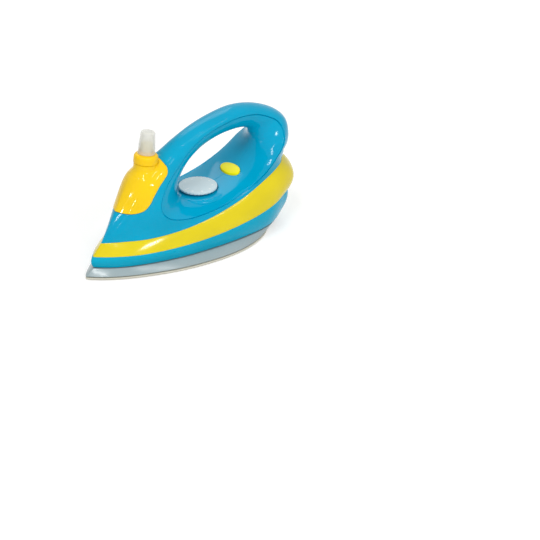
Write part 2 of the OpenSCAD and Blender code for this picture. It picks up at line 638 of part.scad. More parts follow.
spigot_r = cap_r - cap_wall;
spigot_h = 2.8;
module pump_collar() {
    q = collar_round;
    color("#f9cf14") on_pump() difference() {
        union() {
            rotate_extrude($fn = 96) polygon(concat([[0, collar_foot], [collar_r, collar_foot]],
                [for (t = [0 : 1 / 6 : 1]) [collar_r - q + q * cos(90 * t), collar_top - q + q * sin(90 * t)]],
                [[0, collar_top]]));
            rod(spigot_r - 2 * seat_gap, collar_top - lid_t / 2, collar_top + spigot_h);
        }
        rod(neck_r + fit, collar_foot - cut, collar_top - lid_t);
        rod(head_r + 2 * fit, collar_foot - cut, collar_top + spigot_h + cut);
    }
}
cap_foot = collar_top + fit;
cap_round = 1.6;
cap_fit_h = 3;
module spray_cap() {
    q = cap_round;
    color("#dfe0d8") on_pump() translate([0, 0, cap_foot]) difference() {
        rotate_extrude($fn = 96) polygon(concat([[0, 0], [cap_r, 0]],
            [for (t = [0 : 1 / 6 : 1]) [cap_top_r - q + q * cos(90 * t), cap_h - q + q * sin(90 * t)]],
            [[0, cap_h]]));
        rod(spigot_r, -cut, cap_fit_h);
        translate([0, 0, cap_fit_h]) cylinder(r1 = spigot_r, r2 = cap_top_r - cap_wall,
            h = cap_h - cap_wall - cap_fit_h, $fn = 96);
    }
}

// Dial
dial_foot = pad_top + dial_lift;
hub_r = 7;
wheel_r = 9;
wheel_t = 2.4;
wheel_top = pad_top - pad_h - fit;
wheel_bore = wheel_bore_share * dial_shaft_r;
crest_r = 0.9;
notch_r = 0.45;
module temperature_dial() {
    color("#c3cfd2") translate([dial_x, 0, 0]) difference() {
        union() {
            rod(dial_r, dial_foot, dial_foot + dial_t);
            rod(hub_r, pad_top + fit, dial_foot + dial_t / 2);
            rod(dial_shaft_r, wheel_top, dial_foot);
            rod(wheel_bore, wheel_top - wheel_t, wheel_top + cut);
        }
        for (i = [0 : dial_notches - 1]) rotate(360 * i / dial_notches) translate([dial_r, 0, 0])
            rod(notch_r, dial_foot - cut, dial_foot + dial_t + cut);
        rod(pilot_r, wheel_top - wheel_t - cut, pad_top);
    }
}
module click_wheel() {
    color("#f2f0e8") translate([dial_x, 0, 0]) difference() {
        union() {
            rod(wheel_r - crest_r, wheel_top - wheel_t, wheel_top);
            for (i = [0 : clicks - 1]) rotate(360 * i / clicks) translate([wheel_r - crest_r, 0, 0])
                rod(crest_r, wheel_top - wheel_t, wheel_top);
        }
        rod(wheel_bore + seat_gap, wheel_top - wheel_t - cut, wheel_top + cut);
    }
}
module dial_screw() {
    color("#9a9da0") translate([dial_x, 0, 0]) screw(wheel_top - wheel_t, 2 * wheel_t + cut);
}
leaf_x = 14;
leaf_y = 13;
leaf_t = 1;
leaf_top = wheel_top;
leaf_pad = 3.6;
screw_bite = 7;
module click_leaf() {
    y = -wheel_r - fit - crest_r - leaf_t;
    color("#f2f0e8") translate([dial_x, 0, leaf_top - wheel_t]) difference() {
        linear_extrude(wheel_t) union() {
            translate([-crest_r, y]) square([leaf_x + leaf_pad + crest_r, leaf_t]);
            translate([0, y + leaf_t]) circle(r = crest_r, $fn = 32);
            translate([leaf_x - leaf_pad, -leaf_y - leaf_pad])
                square([2 * leaf_pad, leaf_y + leaf_pad + y + leaf_t]);
        }
        translate([leaf_x, -leaf_y, 0]) rod(clear_r, -cut, wheel_t + cut);
    }
}
module leaf_screw() {
    color("#9a9da0") translate([dial_x + leaf_x, -leaf_y, 0]) screw(leaf_top - wheel_t, wheel_t + screw_bite / 3);
}

// Button
guide_r = 2.4;
button_turns = 5;
module steam_button() {
    color("#f5e51d") difference() {
        union() {
            oval(0, button_foot + button_flange / 2, button_top + button_b / 2);
            oval(button_flange, button_foot, button_foot + button_flange);
            translate([button_x, 0, 0]) rod(guide_r, bracket_top - bracket_t - cut, button_foot + button_flange);
        }
        translate([button_x, 0, button_top]) rotate([0, -button_slope, 0])
            translate([-button_a, -2 * button_a, 0]) cube([2 * button_a, 4 * button_a, button_a]);
    }
}
module button_spring() {
    color("#c4c8ca") translate([button_x, 0, bracket_top])
        coil(guide_r + fit + 2 * wire_r, wire_r, button_turns, button_foot - bracket_top);
}
module button_bracket() {
    half_l = bracket_y + post_r + wall / 2;
    color("#e6e6df") difference() {
        translate([button_x - button_b, -half_l, bracket_top - bracket_t])
            cube([2 * button_b, 2 * half_l, bracket_t]);
        translate([button_x, 0, 0]) rod(guide_r + run_fit, 0, bracket_top + cut);
        bracket_positions() rod(clear_r, 0, bracket_top + cut);
    }
}
module bracket_screws() {
    color("#9a9da0") bracket_positions() screw(bracket_top - bracket_t, bracket_t + screw_bite - cut);
}

// Screws of the body
module shell_screws() {
    color("#9a9da0") for (s = shell_screw_shares) translate(place([s[0], 0, s[1]])) rotate([90, 0, 0])
        screw(-head_seat, head_seat + shell_bite);
}
module base_screws() {
    color("#9a9da0") base_positions() screw(base_seat, $post_top + base_bite - base_seat);
}
module sole_screws() {
    color("#9a9da0") sole_positions() screw(screw_head_h + seat_gap, flange_top + sole_bite - screw_head_h);
}

sole_plate();
sole_flange();
lower_skirt();
waist_band();
left_shell();
right_shell();
spray_tank();
temperature_dial();
steam_button();
pump_collar();
spray_cap();
neck_gasket();
pump_housing();
pump_retainer();
inlet_ball();
dip_tube();
pump_spring();
pump_stem();
spray_head();
nozzle_insert();
click_wheel();
dial_screw();
click_leaf();
leaf_screw();
button_spring();
button_bracket();
bracket_screws();
shell_screws();
base_screws();
sole_screws();
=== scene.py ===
"""Looks of the toy steam iron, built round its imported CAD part.

The nose points to -X, the heel to +X and the sole stands on Z = 0. Shapes are worked out in
millimetres, in the part's own frame, and become metres as they enter a mesh.
"""

import logging
import math
from dataclasses import dataclass, field
from enum import Enum
from typing import Optional, Sequence, Union

import bmesh
import bpy
import numpy as np
from mathutils import Matrix, Vector


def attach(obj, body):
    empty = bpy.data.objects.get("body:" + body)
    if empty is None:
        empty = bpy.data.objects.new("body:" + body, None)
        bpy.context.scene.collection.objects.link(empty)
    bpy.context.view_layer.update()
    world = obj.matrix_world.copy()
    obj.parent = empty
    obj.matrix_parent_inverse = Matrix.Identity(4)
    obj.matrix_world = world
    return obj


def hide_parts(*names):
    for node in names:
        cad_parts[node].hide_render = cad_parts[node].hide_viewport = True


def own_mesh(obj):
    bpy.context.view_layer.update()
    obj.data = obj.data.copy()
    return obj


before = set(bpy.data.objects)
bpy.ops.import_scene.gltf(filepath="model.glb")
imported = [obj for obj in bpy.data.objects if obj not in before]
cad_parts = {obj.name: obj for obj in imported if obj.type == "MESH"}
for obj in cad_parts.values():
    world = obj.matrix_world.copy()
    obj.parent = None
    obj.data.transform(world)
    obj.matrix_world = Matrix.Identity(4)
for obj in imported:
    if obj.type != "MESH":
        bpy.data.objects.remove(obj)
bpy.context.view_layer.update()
LOG = logging.getLogger("toy_iron")

MM = 0.001
IRON_L, IRON_W, IRON_H = 208.0, 88.0, 108.0
WALL = 2.2
# Clearance of the button in its well, and how far cutting tools run past what they cut
FIT = 0.3
OVERRUN = 1.0
# Points of a new form that lie closer than this are one, and so are those of a cut piece
WELD = 1e-4
SLIVER = 0.002
# Places along a corner's arc, and how much of the way to the next row a corner may take
ARC = (0, 1 / 3, 2 / 3, 1)
CORNER_REACH = 0.45
# How far, as a share of one side, a rod's corners are turned off the parting plane
ROD_TURN = 0.37
# How hard the hull's rows are pulled square to the parting plane at either end
NOSE_PULL = 0.3
HEEL_PULL = 1.2
NO_LENGTH = 1e-9

Points = np.ndarray
Shares = Sequence[Sequence[float]]
Input = Union["Num", float, str, Sequence[float]]


class Side(Enum):
    """Which side of the parting plane a half lies on, as the sign of its Y."""

    NEAR = -1
    FAR = 1


class Cut(Enum):
    """What one solid does to another."""

    REMOVE = "DIFFERENCE"
    JOIN = "UNION"
    KEEP = "INTERSECT"


# Materials


class Num:
    """A number on a node socket, for shader maths written as Python."""

    def __init__(self, paint: "Paint", socket: bpy.types.NodeSocket) -> None:
        """Wraps one output socket of a paint's node tree."""
        self.paint = paint
        self.socket = socket

    def _math(self, operation: str, a: Input, b: Input) -> "Num":
        """One Math node on two numbers or sockets."""
        return self.paint.node("ShaderNodeMath", {"operation": operation}, {0: a, 1: b})

    def __add__(self, other: Input) -> "Num":
        """Sum."""
        return self._math("ADD", self, other)

    __radd__ = __add__

    def __sub__(self, other: Input) -> "Num":
        """Difference."""
        return self._math("SUBTRACT", self, other)

    def __rsub__(self, other: Input) -> "Num":
        """Difference the other way round."""
        return self._math("SUBTRACT", other, self)

    def __mul__(self, other: Input) -> "Num":
        """Product."""
        return self._math("MULTIPLY", self, other)

    __rmul__ = __mul__


class Paint:
    """One material and its node tree."""

    def __init__(self, name: str) -> None:
        """Starts an empty material.

        Args:
            name: its name.
        """
        self.material = bpy.data.materials.new(name)
        self.material.use_nodes = True
        self.tree = self.material.node_tree
        self.tree.nodes.clear()
        self.place = self.node("ShaderNodeTexCoord", output="Object")

    def node(
        self,
        kind: str,
        settings: Optional[dict] = None,
        inputs: Optional[dict] = None,
        output: Input = 0,
    ) -> Num:
        """Adds a node.

        Args:
            kind: the node's type.
            settings: its properties; "stops" holds a ramp's (place, colour) pairs.
            inputs: values or links of its sockets, by name or number.
            output: the name or number of the socket to return.

        Returns:
            The wanted output socket.
        """
        made = self.tree.nodes.new(kind)
        for key, value in (settings or {}).items():
            if key == "stops":
                ramp = made.color_ramp.elements
                while len(ramp) < len(value):
                    ramp.new(1.0)
                for element, (where, colour) in zip(ramp, value):
                    element.position = where
                    element.color = colour
            else:
                setattr(made, key, value)
        for key, value in (inputs or {}).items():
            if isinstance(value, Num):
                self.tree.links.new(value.socket, made.inputs[key])
            else:
                made.inputs[key].default_value = value
        return Num(self, made.outputs[output])

    def noise(self, size: float, detail: float = 2.0, stretch: Sequence[float] = (1, 1, 1)) -> Num:
        """Cloudy noise on the object's own coordinates.

        Args:
            size: about how large its features are, in millimetres.
            detail: how many finer layers it has.
            stretch: how much denser it is along each axis.

        Returns:
            A number from 0 to 1.
        """
        where = self.node(
            "ShaderNodeMapping", {}, {"Vector": self.place, "Scale": tuple(stretch)}, "Vector"
        )
        return self.node(
            "ShaderNodeTexNoise",
            {},
            {"Vector": where, "Scale": 1 / (size * MM), "Detail": detail},
            "Fac",
        )

    def band(self, value: Num, low: float, high: float) -> Num:
        """A value taken from low..high to 0..1, softly."""
        return self.node(
            "ShaderNodeMapRange",
            {"interpolation_type": "SMOOTHSTEP"},
            {"Value": value, "From Min": low, "From Max": high},
            "Result",
        )

    def blend(self, share: Input, a: Input, b: Input) -> Num:
        """A colour between a and b."""
        return self.node("ShaderNodeMix", {"data_type": "RGBA"}, {0: share, 6: a, 7: b}, 2)

    def bump(self, height: Num, depth: float, normal: Optional[Num] = None) -> Num:
        """Relief.

        Args:
            height: the relief's shape, from 0 to 1.
            depth: how deep it is, in millimetres.
            normal: relief that it lies on.

        Returns:
            The bumped normal.
        """
        inputs = {"Height": height, "Distance": depth * MM, "Strength": 1.0}
        if normal is not None:
            inputs["Normal"] = normal
        return self.node("ShaderNodeBump", {}, inputs, "Normal")

    def finish(self, shader: Num) -> bpy.types.Material:
        """Ends the tree with a shader.

        Args:
            shader: the socket of the whole finish.

        Returns:
            The material.
        """
        out = self.tree.nodes.new("ShaderNodeOutputMaterial")
        self.tree.links.new(shader.socket, out.inputs["Surface"])
        return self.material


def linear(code: str, alpha: float = 1.0) -> tuple:
    """A colour written as six hexadecimal digits, in linear light.

    Args:
        code: the digits.
        alpha: the colour's fourth value.

    Returns:
        Four numbers.
    """
    parts = [int(code[i : i + 2], 16) / 255 for i in (0, 2, 4)]
    return tuple(
        p / 12.92 if p <= 0.04045 else ((p + 0.055) / 1.055) ** 2.4 for p in parts
    ) + (alpha,)


def scaled(colour: Sequence[float], by: float) -> tuple:
    """A linear colour made lighter or darker."""
    return tuple(min(1.0, c * by) for c in colour[:3]) + (colour[3],)


@dataclass(frozen=True)
class Plastic:
    """Moulded plastic: soft flow marks, orange peel, fine pigment and faint scuffs.

    Tone is how far flow marks lighten and darken the colour, peel and grain are depths of
    relief in millimetres, and gloss is the strength of what the surface mirrors.
    """

    name: str
    colour: str
    roughness: float = 0.2
    tone: float = 0.035
    peel: float = 0.012
    grain: float = 0.0
    alpha: float = 1.0
    gloss: float = 0.12
    flow_size: float = 38.0
    flow_stretch: tuple = (1, 1, 1.7)
    pigment_size: float = 0.5
    pigment_share: float = 0.25
    pigment_tone: float = 3.0
    scuff_size: float = 9.0
    scuff_stretch: tuple = (0.35, 1, 1)
    scuff_dulling: float = 0.07
    mottle_size: float = 2.2
    mottle_dulling: float = 0.05
    peel_size: float = 1.7
    grain_size: float = 0.35

    def build(self) -> bpy.types.Material:
        """Mixes the finish.

        Returns:
            Its material.
        """
        p = Paint(self.name)
        base = linear(self.colour)
        flow = p.band(p.noise(self.flow_size, 3, self.flow_stretch), low=0.3, high=0.7)
        colour = p.blend(flow, scaled(base, 1 - self.tone), scaled(base, 1 + self.tone))
        pigment = p.band(p.noise(self.pigment_size, 1), low=0.62, high=0.78)
        light = scaled(base, 1 + self.pigment_tone * self.tone)
        colour = p.blend(pigment * self.pigment_share, colour, light)
        scuff = p.band(p.noise(self.scuff_size, 4, self.scuff_stretch), low=0.55, high=0.75)
        mottle = p.noise(self.mottle_size) - 0.5
        rough = self.roughness + scuff * self.scuff_dulling + mottle * self.mottle_dulling
        normal = p.bump(p.noise(self.peel_size, 1), self.peel)
        if self.grain:
            normal = p.bump(p.noise(self.grain_size), self.grain, normal)
        shader = p.node(
            "ShaderNodeBsdfPrincipled",
            {},
            {
                "Base Color": colour,
                "Roughness": rough,
                "Normal": normal,
                "Alpha": self.alpha,
                "Specular IOR Level": self.gloss,
            },
            "BSDF",
        )
        return p.finish(shader)


@dataclass(frozen=True)
class Metal:
    """Drawn or turned steel with fine lines and slight dulling."""

    name: str
    colour: str
    roughness: float = 0.28
    dull_size: float = 3.0
    dull_tone: float = 0.72
    dull_roughness: float = 0.16
    line_size: float = 0.25
    line_stretch: tuple = (1, 1, 6)
    line_roughness: float = 0.06
    line_depth: float = 0.01

    def build(self) -> bpy.types.Material:
        """Mixes the finish.

        Returns:
            Its material.
        """
        p = Paint(self.name)
        base = linear(self.colour)
        dull = p.band(p.noise(self.dull_size, 3), low=0.4, high=0.75)
        lines = p.noise(self.line_size, 2, self.line_stretch)
        shader = p.node(
            "ShaderNodeBsdfPrincipled",
            {},
            {
                "Base Color": p.blend(dull, base, scaled(base, self.dull_tone)),
                "Metallic": 1.0,
                "Roughness": self.roughness
                + dull * self.dull_roughness
                + lines * self.line_roughness,
                "Normal": p.bump(lines, self.line_depth),
            },
            "BSDF",
        )
        return p.finish(shader)


BODY_BLUE = Plastic("body_blue", "00a0c6", roughness=0.08, peel=0.006)
SKIRT_BLUE = Plastic("skirt_blue", "00a5c6", roughness=0.12)
BAND_YELLOW = Plastic("band_yellow", "dfcb16", roughness=0.13, gloss=0.24)
TANK_YELLOW = Plastic("tank_yellow", "f2c908", roughness=0.06, peel=0.003, gloss=0.22)
COLLAR_YELLOW = Plastic("collar_yellow", "f6c80e", roughness=0.24, gloss=0.2)
BUTTON_YELLOW = Plastic("button_yellow", "ffee10", roughness=0.3)
DIAL_SILVER = Plastic("dial_silver", "d2e0e2", roughness=0.42, grain=0.006, peel=0.006)
DIAL_PRINT = Plastic("dial_print", "eef1f0", roughness=0.5, grain=0.004, peel=0.004)
SOLE_WHITE = Plastic("sole_white", "d2cfc0", roughness=0.36, tone=0.02)
FLANGE_GREY = Plastic("flange_grey", "98a7aa", roughness=0.16, tone=0.02, gloss=0.3)
CAP_FROSTED = Plastic("cap_frosted", "e6e6de", roughness=0.3, tone=0.015, alpha=0.36, gloss=0.3)
HEAD_CREAM = Plastic("head_cream", "ebe1b4", roughness=0.35, tone=0.02)
INNER_WHITE = Plastic("inner_white", "dedbd0", roughness=0.4, tone=0.02)
TUBE_MILKY = Plastic("tube_milky", "e2e2d8", roughness=0.3, alpha=0.6)
SEAL_BLACK = Plastic("seal_black", "232425", roughness=0.62, grain=0.01)
SPRING_STEEL = Metal("spring_steel", "c6c9cb", 0.22)
SCREW_STEEL = Metal("screw_steel", "b3b6b8", 0.3)
FINISHES = (
    BODY_BLUE, SKIRT_BLUE, BAND_YELLOW, TANK_YELLOW, COLLAR_YELLOW, BUTTON_YELLOW,
    DIAL_SILVER, DIAL_PRINT, SOLE_WHITE, FLANGE_GREY, CAP_FROSTED, HEAD_CREAM, INNER_WHITE,
    TUBE_MILKY, SEAL_BLACK, SPRING_STEEL, SCREW_STEEL,
)


# Curves and lofted forms


class Curve:
    """A smooth line through stations, each one unit of its parameter from the next."""

    def __init__(
        self,
        stations: Shares,
        first: Optional[Sequence[float]] = None,
        last: Optional[Sequence[float]] = None,
        closed: bool = False,
    ) -> None:
        """Works out the direction at each station.

        Args:
            stations: the points the line passes through.
            first: the direction at an open line's start.
            last: the direction at its end.
            closed: whether the line returns to its start.
        """
        self.p = np.array(stations, float)
        self.closed = closed
        p = self.p
        if closed:
            self.m = (np.roll(p, -1, 0) - np.roll(p, 1, 0)) / 2
        else:
            self.m = np.gradient(p, axis=0)
            self.m[0] = p[1] - p[0] if first is None else first
            self.m[-1] = p[-1] - p[-2] if last is None else last

    def at(self, s: Points) -> Points:
        """The points at some parameters, on a cubic between each two stations.

        Args:
            s: the parameters.

        Returns:
            One point for each.
        """
        n = len(self.p)
        segments = n if self.closed else n - 1
        s = np.asarray(s, float) % n if self.closed else np.asarray(s, float)
        i = np.clip(np.floor(s).astype(int), 0, segments - 1)
        t = (s - i)[:, None]
        j = (i + 1) % n
        return (
            self.p[i] * (2 * t**3 - 3 * t**2 + 1)
            + self.m[i] * (t**3 - 2 * t**2 + t)
            + self.p[j] * (3 * t**2 - 2 * t**3)
            + self.m[j] * (t**3 - t**2)
        )


def place(shares: Shares) -> Points:
    """Stations given as shares of the iron's size, in millimetres.

    Args:
        shares: rows of two or three numbers: along, across and up.

    Returns:
        The points, whose X starts at the nose.
    """
    s = np.array([list(row) + [0.0] * (3 - len(row)) for row in shares], float)
    return np.stack(
        [(s[:, 0] - 0.5) * IRON_L, s[:, 1] * IRON_W / 2, s[:, 2] * IRON_H], axis=1
    )


def unit(v: Points) -> Points:
    """Vectors brought to length one."""
    return v / np.maximum(np.linalg.norm(v, axis=-1, keepdims=True), NO_LENGTH)


def softened(rows: list, corners: dict, wrap: bool) -> list:
    """Rounds the corners between rows of points.

    Args:
        rows: arrays of points, one row after another over the form.
        corners: for each row that is an edge, the size of its rounding in millimetres.
        wrap: whether the last row meets the first.

    Returns:
        The rows, with each named one replaced by a short arc of rows.
    """
    out = []
    for k, row in enumerate(rows):
        if k not in corners or (not wrap and k in (0, len(rows) - 1)):
            out.append(row)
            continue
        before, after = rows[k - 1] - row, rows[(k + 1) % len(rows)] - row
        ends = []
        for way in (before, after):
            long = np.linalg.norm(way, axis=1, keepdims=True)
            ends.append(row + unit(way) * np.minimum(corners[k], CORNER_REACH * long))
        for t in ARC:
            out.append(ends[0] * (1 - t) ** 2 + row * 2 * t * (1 - t) + ends[1] * t**2)
    return out


def shift(x: float = 0.0, y: float = 0.0, z: float = 0.0) -> Matrix:
    """A move."""
    return Matrix.Translation((x, y, z))


def quarter(axis: str, way: int = 1) -> Matrix:
    """A quarter turn about an axis."""
    return Matrix.Rotation(way * math.pi / 2, 4, axis)


def finished(bm: bmesh.types.BMesh, name: str, at: Optional[Matrix] = None) -> bpy.types.Object:
    """Ends a bmesh in millimetres as an object in metres, in the part's frame.

    Args:
        bm: the form, which is used up.
        name: the object's name.
        at: a place to move the form to.

    Returns:
        The object, at the origin, with its place in its mesh.
    """
    bmesh.ops.remove_doubles(bm, verts=bm.verts, dist=WELD)
    bmesh.ops.recalc_face_normals(bm, faces=bm.faces)
    bmesh.ops.transform(bm, matrix=Matrix.Scale(MM, 4) @ (at or Matrix()), verts=bm.verts)
    mesh = bpy.data.meshes.new(name)
    bm.to_mesh(mesh)
    bm.free()
    made = bpy.data.objects.new(name, mesh)
    bpy.context.scene.collection.objects.link(made)
    return made


def lofted(rows: list, wrap: bool) -> bmesh.types.BMesh:
    """A closed skin over rows of points, each a ring.

    Args:
        rows: arrays of points, all of one length, each going round the form.
        wrap: joins the last row to the first; otherwise both ends are closed flat.

    Returns:
        The form, in millimetres.
    """
    points = np.stack(rows, axis=1)
    m, n = points.shape[:2]
    spans = n if wrap else n - 1
    bm = bmesh.new()
    bmesh.ops.create_grid(bm, x_segments=m, y_segments=spans, size=0.5)
    for v in bm.verts:
        v.co = points[round((v.co.x + 0.5) * m) % m, round((v.co.y + 0.5) * spans) % n]
    bmesh.ops.remove_doubles(bm, verts=bm.verts, dist=WELD)
    if not wrap:
        bmesh.ops.holes_fill(bm, edges=[e for e in bm.edges if e.is_boundary], sides=0)
    return bm


def turned(profile: Shares, steps: int = 96) -> bmesh.types.BMesh:
    """A form turned about Z.

    Args:
        profile: a closed line of (radius, height) points.
        steps: how many steps the full turn has.

    Returns:
        The form, in millimetres.
    """
    bm = bmesh.new()
    verts = [bm.verts.new((r, 0, z)) for r, z in profile]
    edges = [bm.edges.new((a, b)) for a, b in zip(verts, verts[1:] + verts[:1])]
    bmesh.ops.spin(
        bm, geom=verts + edges, axis=(0, 0, 1), cent=(0, 0, 0), angle=2 * math.pi,
        steps=steps, use_merge=True,
    )
    bmesh.ops.remove_doubles(bm, verts=bm.verts, dist=WELD)
    loose = [e for e in bm.edges if not e.link_faces]
    bmesh.ops.delete(bm, geom=loose, context="EDGES")
    return bm


def rounded(profile: Shares, corners: dict) -> list:
    """A closed profile whose numbered corners are rounded by so many millimetres."""
    rows = [np.array([p], float) for p in profile]
    return [tuple(r[0]) for r in softened(rows, corners, True)]


def oval_ring(turn: Points, a: Input, b: Input, z: float, tilt: float = 0.0) -> Points:
    """A ring about the origin.

    Args:
        turn: the angles of its points.
        a: how far it reaches across the iron, at each angle or all round.
        b: how far it reaches along it.
        z: its height.
        tilt: how much it climbs towards the heel.

    Returns:
        The ring's points.
    """
    x = b * np.cos(turn)
    return np.stack([x, a * np.sin(turn), z + tilt * x], axis=1)


def full_turn(steps: int) -> Points:
    """The angles of so many points round a circle."""
    return 2 * math.pi * np.arange(steps) / steps


def joined(*forms: bmesh.types.BMesh) -> bmesh.types.BMesh:
    """Several forms as one.

    Args:
        forms: the forms, of which the others are used up by the first.

    Returns:
        The first form, grown by the others.
    """
    out = forms[0]
    for other in forms[1:]:
        mesh = bpy.data.meshes.new("part")
        other.to_mesh(mesh)
        other.free()
        out.from_mesh(mesh)
        bpy.data.meshes.remove(mesh)
    return out


def moved(bm: bmesh.types.BMesh, matrix: Matrix) -> bmesh.types.BMesh:
    """A form after a turn or a shift in millimetres."""
    bmesh.ops.transform(bm, matrix=matrix, verts=bm.verts)
    return bm


def rod(r: float, z0: float, z1: float, steps: int = 64) -> bmesh.types.BMesh:
    """A plain cylinder along Z, as a tool for cuts and joins.

    Args:
        r: its radius.
        z0: where it starts.
        z1: where it ends.
        steps: how many sides it has. They are turned off the axes, so that no corner of the
            rod falls on the parting plane.

    Returns:
        The form, in millimetres.
    """
    bm = bmesh.new()
    bmesh.ops.create_cone(
        bm, cap_ends=True, cap_tris=False, segments=steps, radius1=r, radius2=r, depth=z1 - z0
    )
    off_axis = Matrix.Rotation(ROD_TURN * 2 * math.pi / steps, 4, "Z")
    return moved(bm, shift(z=(z0 + z1) / 2) @ off_axis)


def block(at: Matrix, size: Sequence[float]) -> bmesh.types.BMesh:
    """A box.

    Args:
        at: the place of its middle, and its turn.
        size: its length along each axis, in millimetres.

    Returns:
        The form.
    """
    bm = bmesh.new()
    bmesh.ops.create_cube(bm, size=1)
    return moved(bm, at @ Matrix.Diagonal((*size, 1)))


def carve(target: bpy.types.Object, tool: bpy.types.Object, how: Cut) -> bpy.types.Object:
    """Cuts, joins or trims a piece with a tool, and throws the tool away.

    Args:
        target: the piece.
        tool: the other solid, which mustn't cross itself.
        how: what the tool does.

    Returns:
        The piece.
    """
    step = target.modifiers.new("step", "BOOLEAN")
    step.operation = how.value
    step.solver = "EXACT"
    step.object = tool
    graph = bpy.context.evaluated_depsgraph_get()
    mesh = bpy.data.meshes.new_from_object(target.evaluated_get(graph))
    old = target.data
    target.modifiers.clear()
    target.data = mesh
    mesh.name = target.name
    bpy.data.meshes.remove(old)
    bpy.data.objects.remove(tool)
    return target


def merged(piece: bpy.types.Object) -> bpy.types.Object:
    """Merges points of a piece that all but touch, and with them the slivers of its cuts.

    Args:
        piece: the piece, in metres.

    Returns:
        The same piece.
    """
    bm = bmesh.new()
    bm.from_mesh(piece.data)
    bmesh.ops.remove_doubles(bm, verts=bm.verts, dist=SLIVER * MM)
    bm.to_mesh(piece.data)
    bm.free()
    return piece


def dressed(
    piece: bpy.types.Object,
    finish: bpy.types.Material,
    body: str,
    slot: str,
    *nodes: str,
    crisp: float = 32,
) -> bpy.types.Object:
    """Gives a new piece its material, its body and the CAD nodes it stands for.

    Args:
        piece: the new piece.
        finish: its material.
        body: the CAD body it rides on.
        slot: the record's material slot. It is not used.
        nodes: the CAD nodes it replaces.
        crisp: edges sharper than this many degrees stay crisp.

    Returns:
        The piece.
    """
    merged(piece)
    piece.data.materials.clear()
    piece.data.materials.append(finish)
    for face in piece.data.polygons:
        face.use_smooth = True
    piece.data.set_sharp_from_angle(angle=math.radians(crisp))
    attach(piece, body)
    if nodes:
        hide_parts(*nodes)
    stands_for = ", ".join(nodes) or "looks only"
    LOG.info("%s: %d faces, for %s", piece.name, len(piece.data.polygons), stands_for)
    return piece


# The lines of the body, as shares of its length, of half its width and of its height

RIDGE = [
    [0.078, 0.000, 0.260], [0.150, 0.000, 0.480], [0.216, 0.000, 0.685], [0.283, 0.000, 0.769],
    [0.370, 0.000, 0.815], [0.452, 0.000, 0.886], [0.538, 0.000, 0.943], [0.635, 0.000, 0.983],
    [0.740, 0.000, 0.999], [0.837, 0.000, 0.964], [0.928, 0.000, 0.884], [0.985, 0.000, 0.784],
    [1.000, 0.000, 0.667], [0.992, 0.000, 0.569], [0.966, 0.000, 0.497],
]
EDGE = [
    [0.966, 0.000, 0.497], [0.916, 0.386, 0.507], [0.858, 0.580, 0.500], [0.779, 0.673, 0.457],
    [0.659, 0.741, 0.391], [0.514, 0.750, 0.333], [0.370, 0.682, 0.296], [0.240, 0.500, 0.274],
    [0.147, 0.245, 0.265], [0.078, 0.000, 0.260],
]
CREASE = [
    [0.286, 0.534, 0.491], [0.296, 0.489, 0.546], [0.320, 0.450, 0.620], [0.356, 0.386, 0.671],
    [0.413, 0.295, 0.727], [0.476, 0.250, 0.815], [0.553, 0.239, 0.887], [0.644, 0.239, 0.930],
    [0.731, 0.239, 0.943], [0.822, 0.239, 0.914], [0.897, 0.277, 0.841], [0.920, 0.341, 0.790],
    [0.923, 0.420, 0.736], [0.913, 0.500, 0.685], [0.889, 0.575, 0.644], [0.858, 0.620, 0.602],
    [0.815, 0.655, 0.539], [0.757, 0.686, 0.476], [0.668, 0.718, 0.415], [0.538, 0.727, 0.373],
    [0.418, 0.691, 0.361], [0.337, 0.643, 0.387], [0.298, 0.591, 0.431],
]
OPENING = [
    [0.438, 0.000, 0.481], [0.435, 0.000, 0.528], [0.442, 0.000, 0.574], [0.454, 0.000, 0.620],
    [0.476, 0.000, 0.671], [0.510, 0.000, 0.722], [0.567, 0.000, 0.778], [0.644, 0.000, 0.813],
    [0.721, 0.000, 0.819], [0.774, 0.000, 0.806], [0.805, 0.000, 0.776], [0.821, 0.000, 0.731],
    [0.825, 0.000, 0.681], [0.817, 0.000, 0.632], [0.802, 0.000, 0.586], [0.780, 0.000, 0.544],
    [0.752, 0.000, 0.508], [0.716, 0.000, 0.478], [0.663, 0.000, 0.448], [0.591, 0.000, 0.424],
    [0.519, 0.000, 0.413], [0.469, 0.000, 0.421], [0.445, 0.000, 0.449],
]
FULLNESS = [
    [0.15, 1.2], [0.6, 1.4], [0.88, 1.5], [1, 1.6], [1, 1.8], [1, 2], [1, 2], [1, 2],
    [1, 2], [1, 2], [0.95, 1.9], [0.8, 1.8], [0.65, 1.8], [0.5, 1.8], [0.35, 1.8], [0.15, 1.7],
    [0, 1.5], [0, 1.3], [0, 1.1], [0, 1], [0, 1], [0, 1], [0, 1],
]
BAND_MID = [
    [0.063, 0.000, 0.227], [0.125, 0.273, 0.226], [0.216, 0.523, 0.231], [0.356, 0.732, 0.245],
    [0.510, 0.845, 0.269], [0.659, 0.859, 0.313], [0.784, 0.795, 0.355], [0.892, 0.670, 0.378],
    [0.966, 0.450, 0.380], [1.000, 0.000, 0.380],
]
BAND_FOOT = [
    [0.038, 0.000, 0.171], [0.101, 0.295, 0.176], [0.202, 0.564, 0.178], [0.346, 0.773, 0.185],
    [0.505, 0.884, 0.199], [0.659, 0.909, 0.225], [0.784, 0.836, 0.250], [0.875, 0.655, 0.262],
    [0.935, 0.443, 0.267], [0.959, 0.000, 0.269],
]
SKIRT_MID = [
    [0.028, 0.000, 0.132], [0.096, 0.295, 0.132], [0.197, 0.559, 0.132], [0.341, 0.764, 0.135],
    [0.500, 0.870, 0.142], [0.654, 0.900, 0.154], [0.779, 0.836, 0.165], [0.868, 0.650, 0.171],
    [0.930, 0.439, 0.172], [0.948, 0.000, 0.172],
]
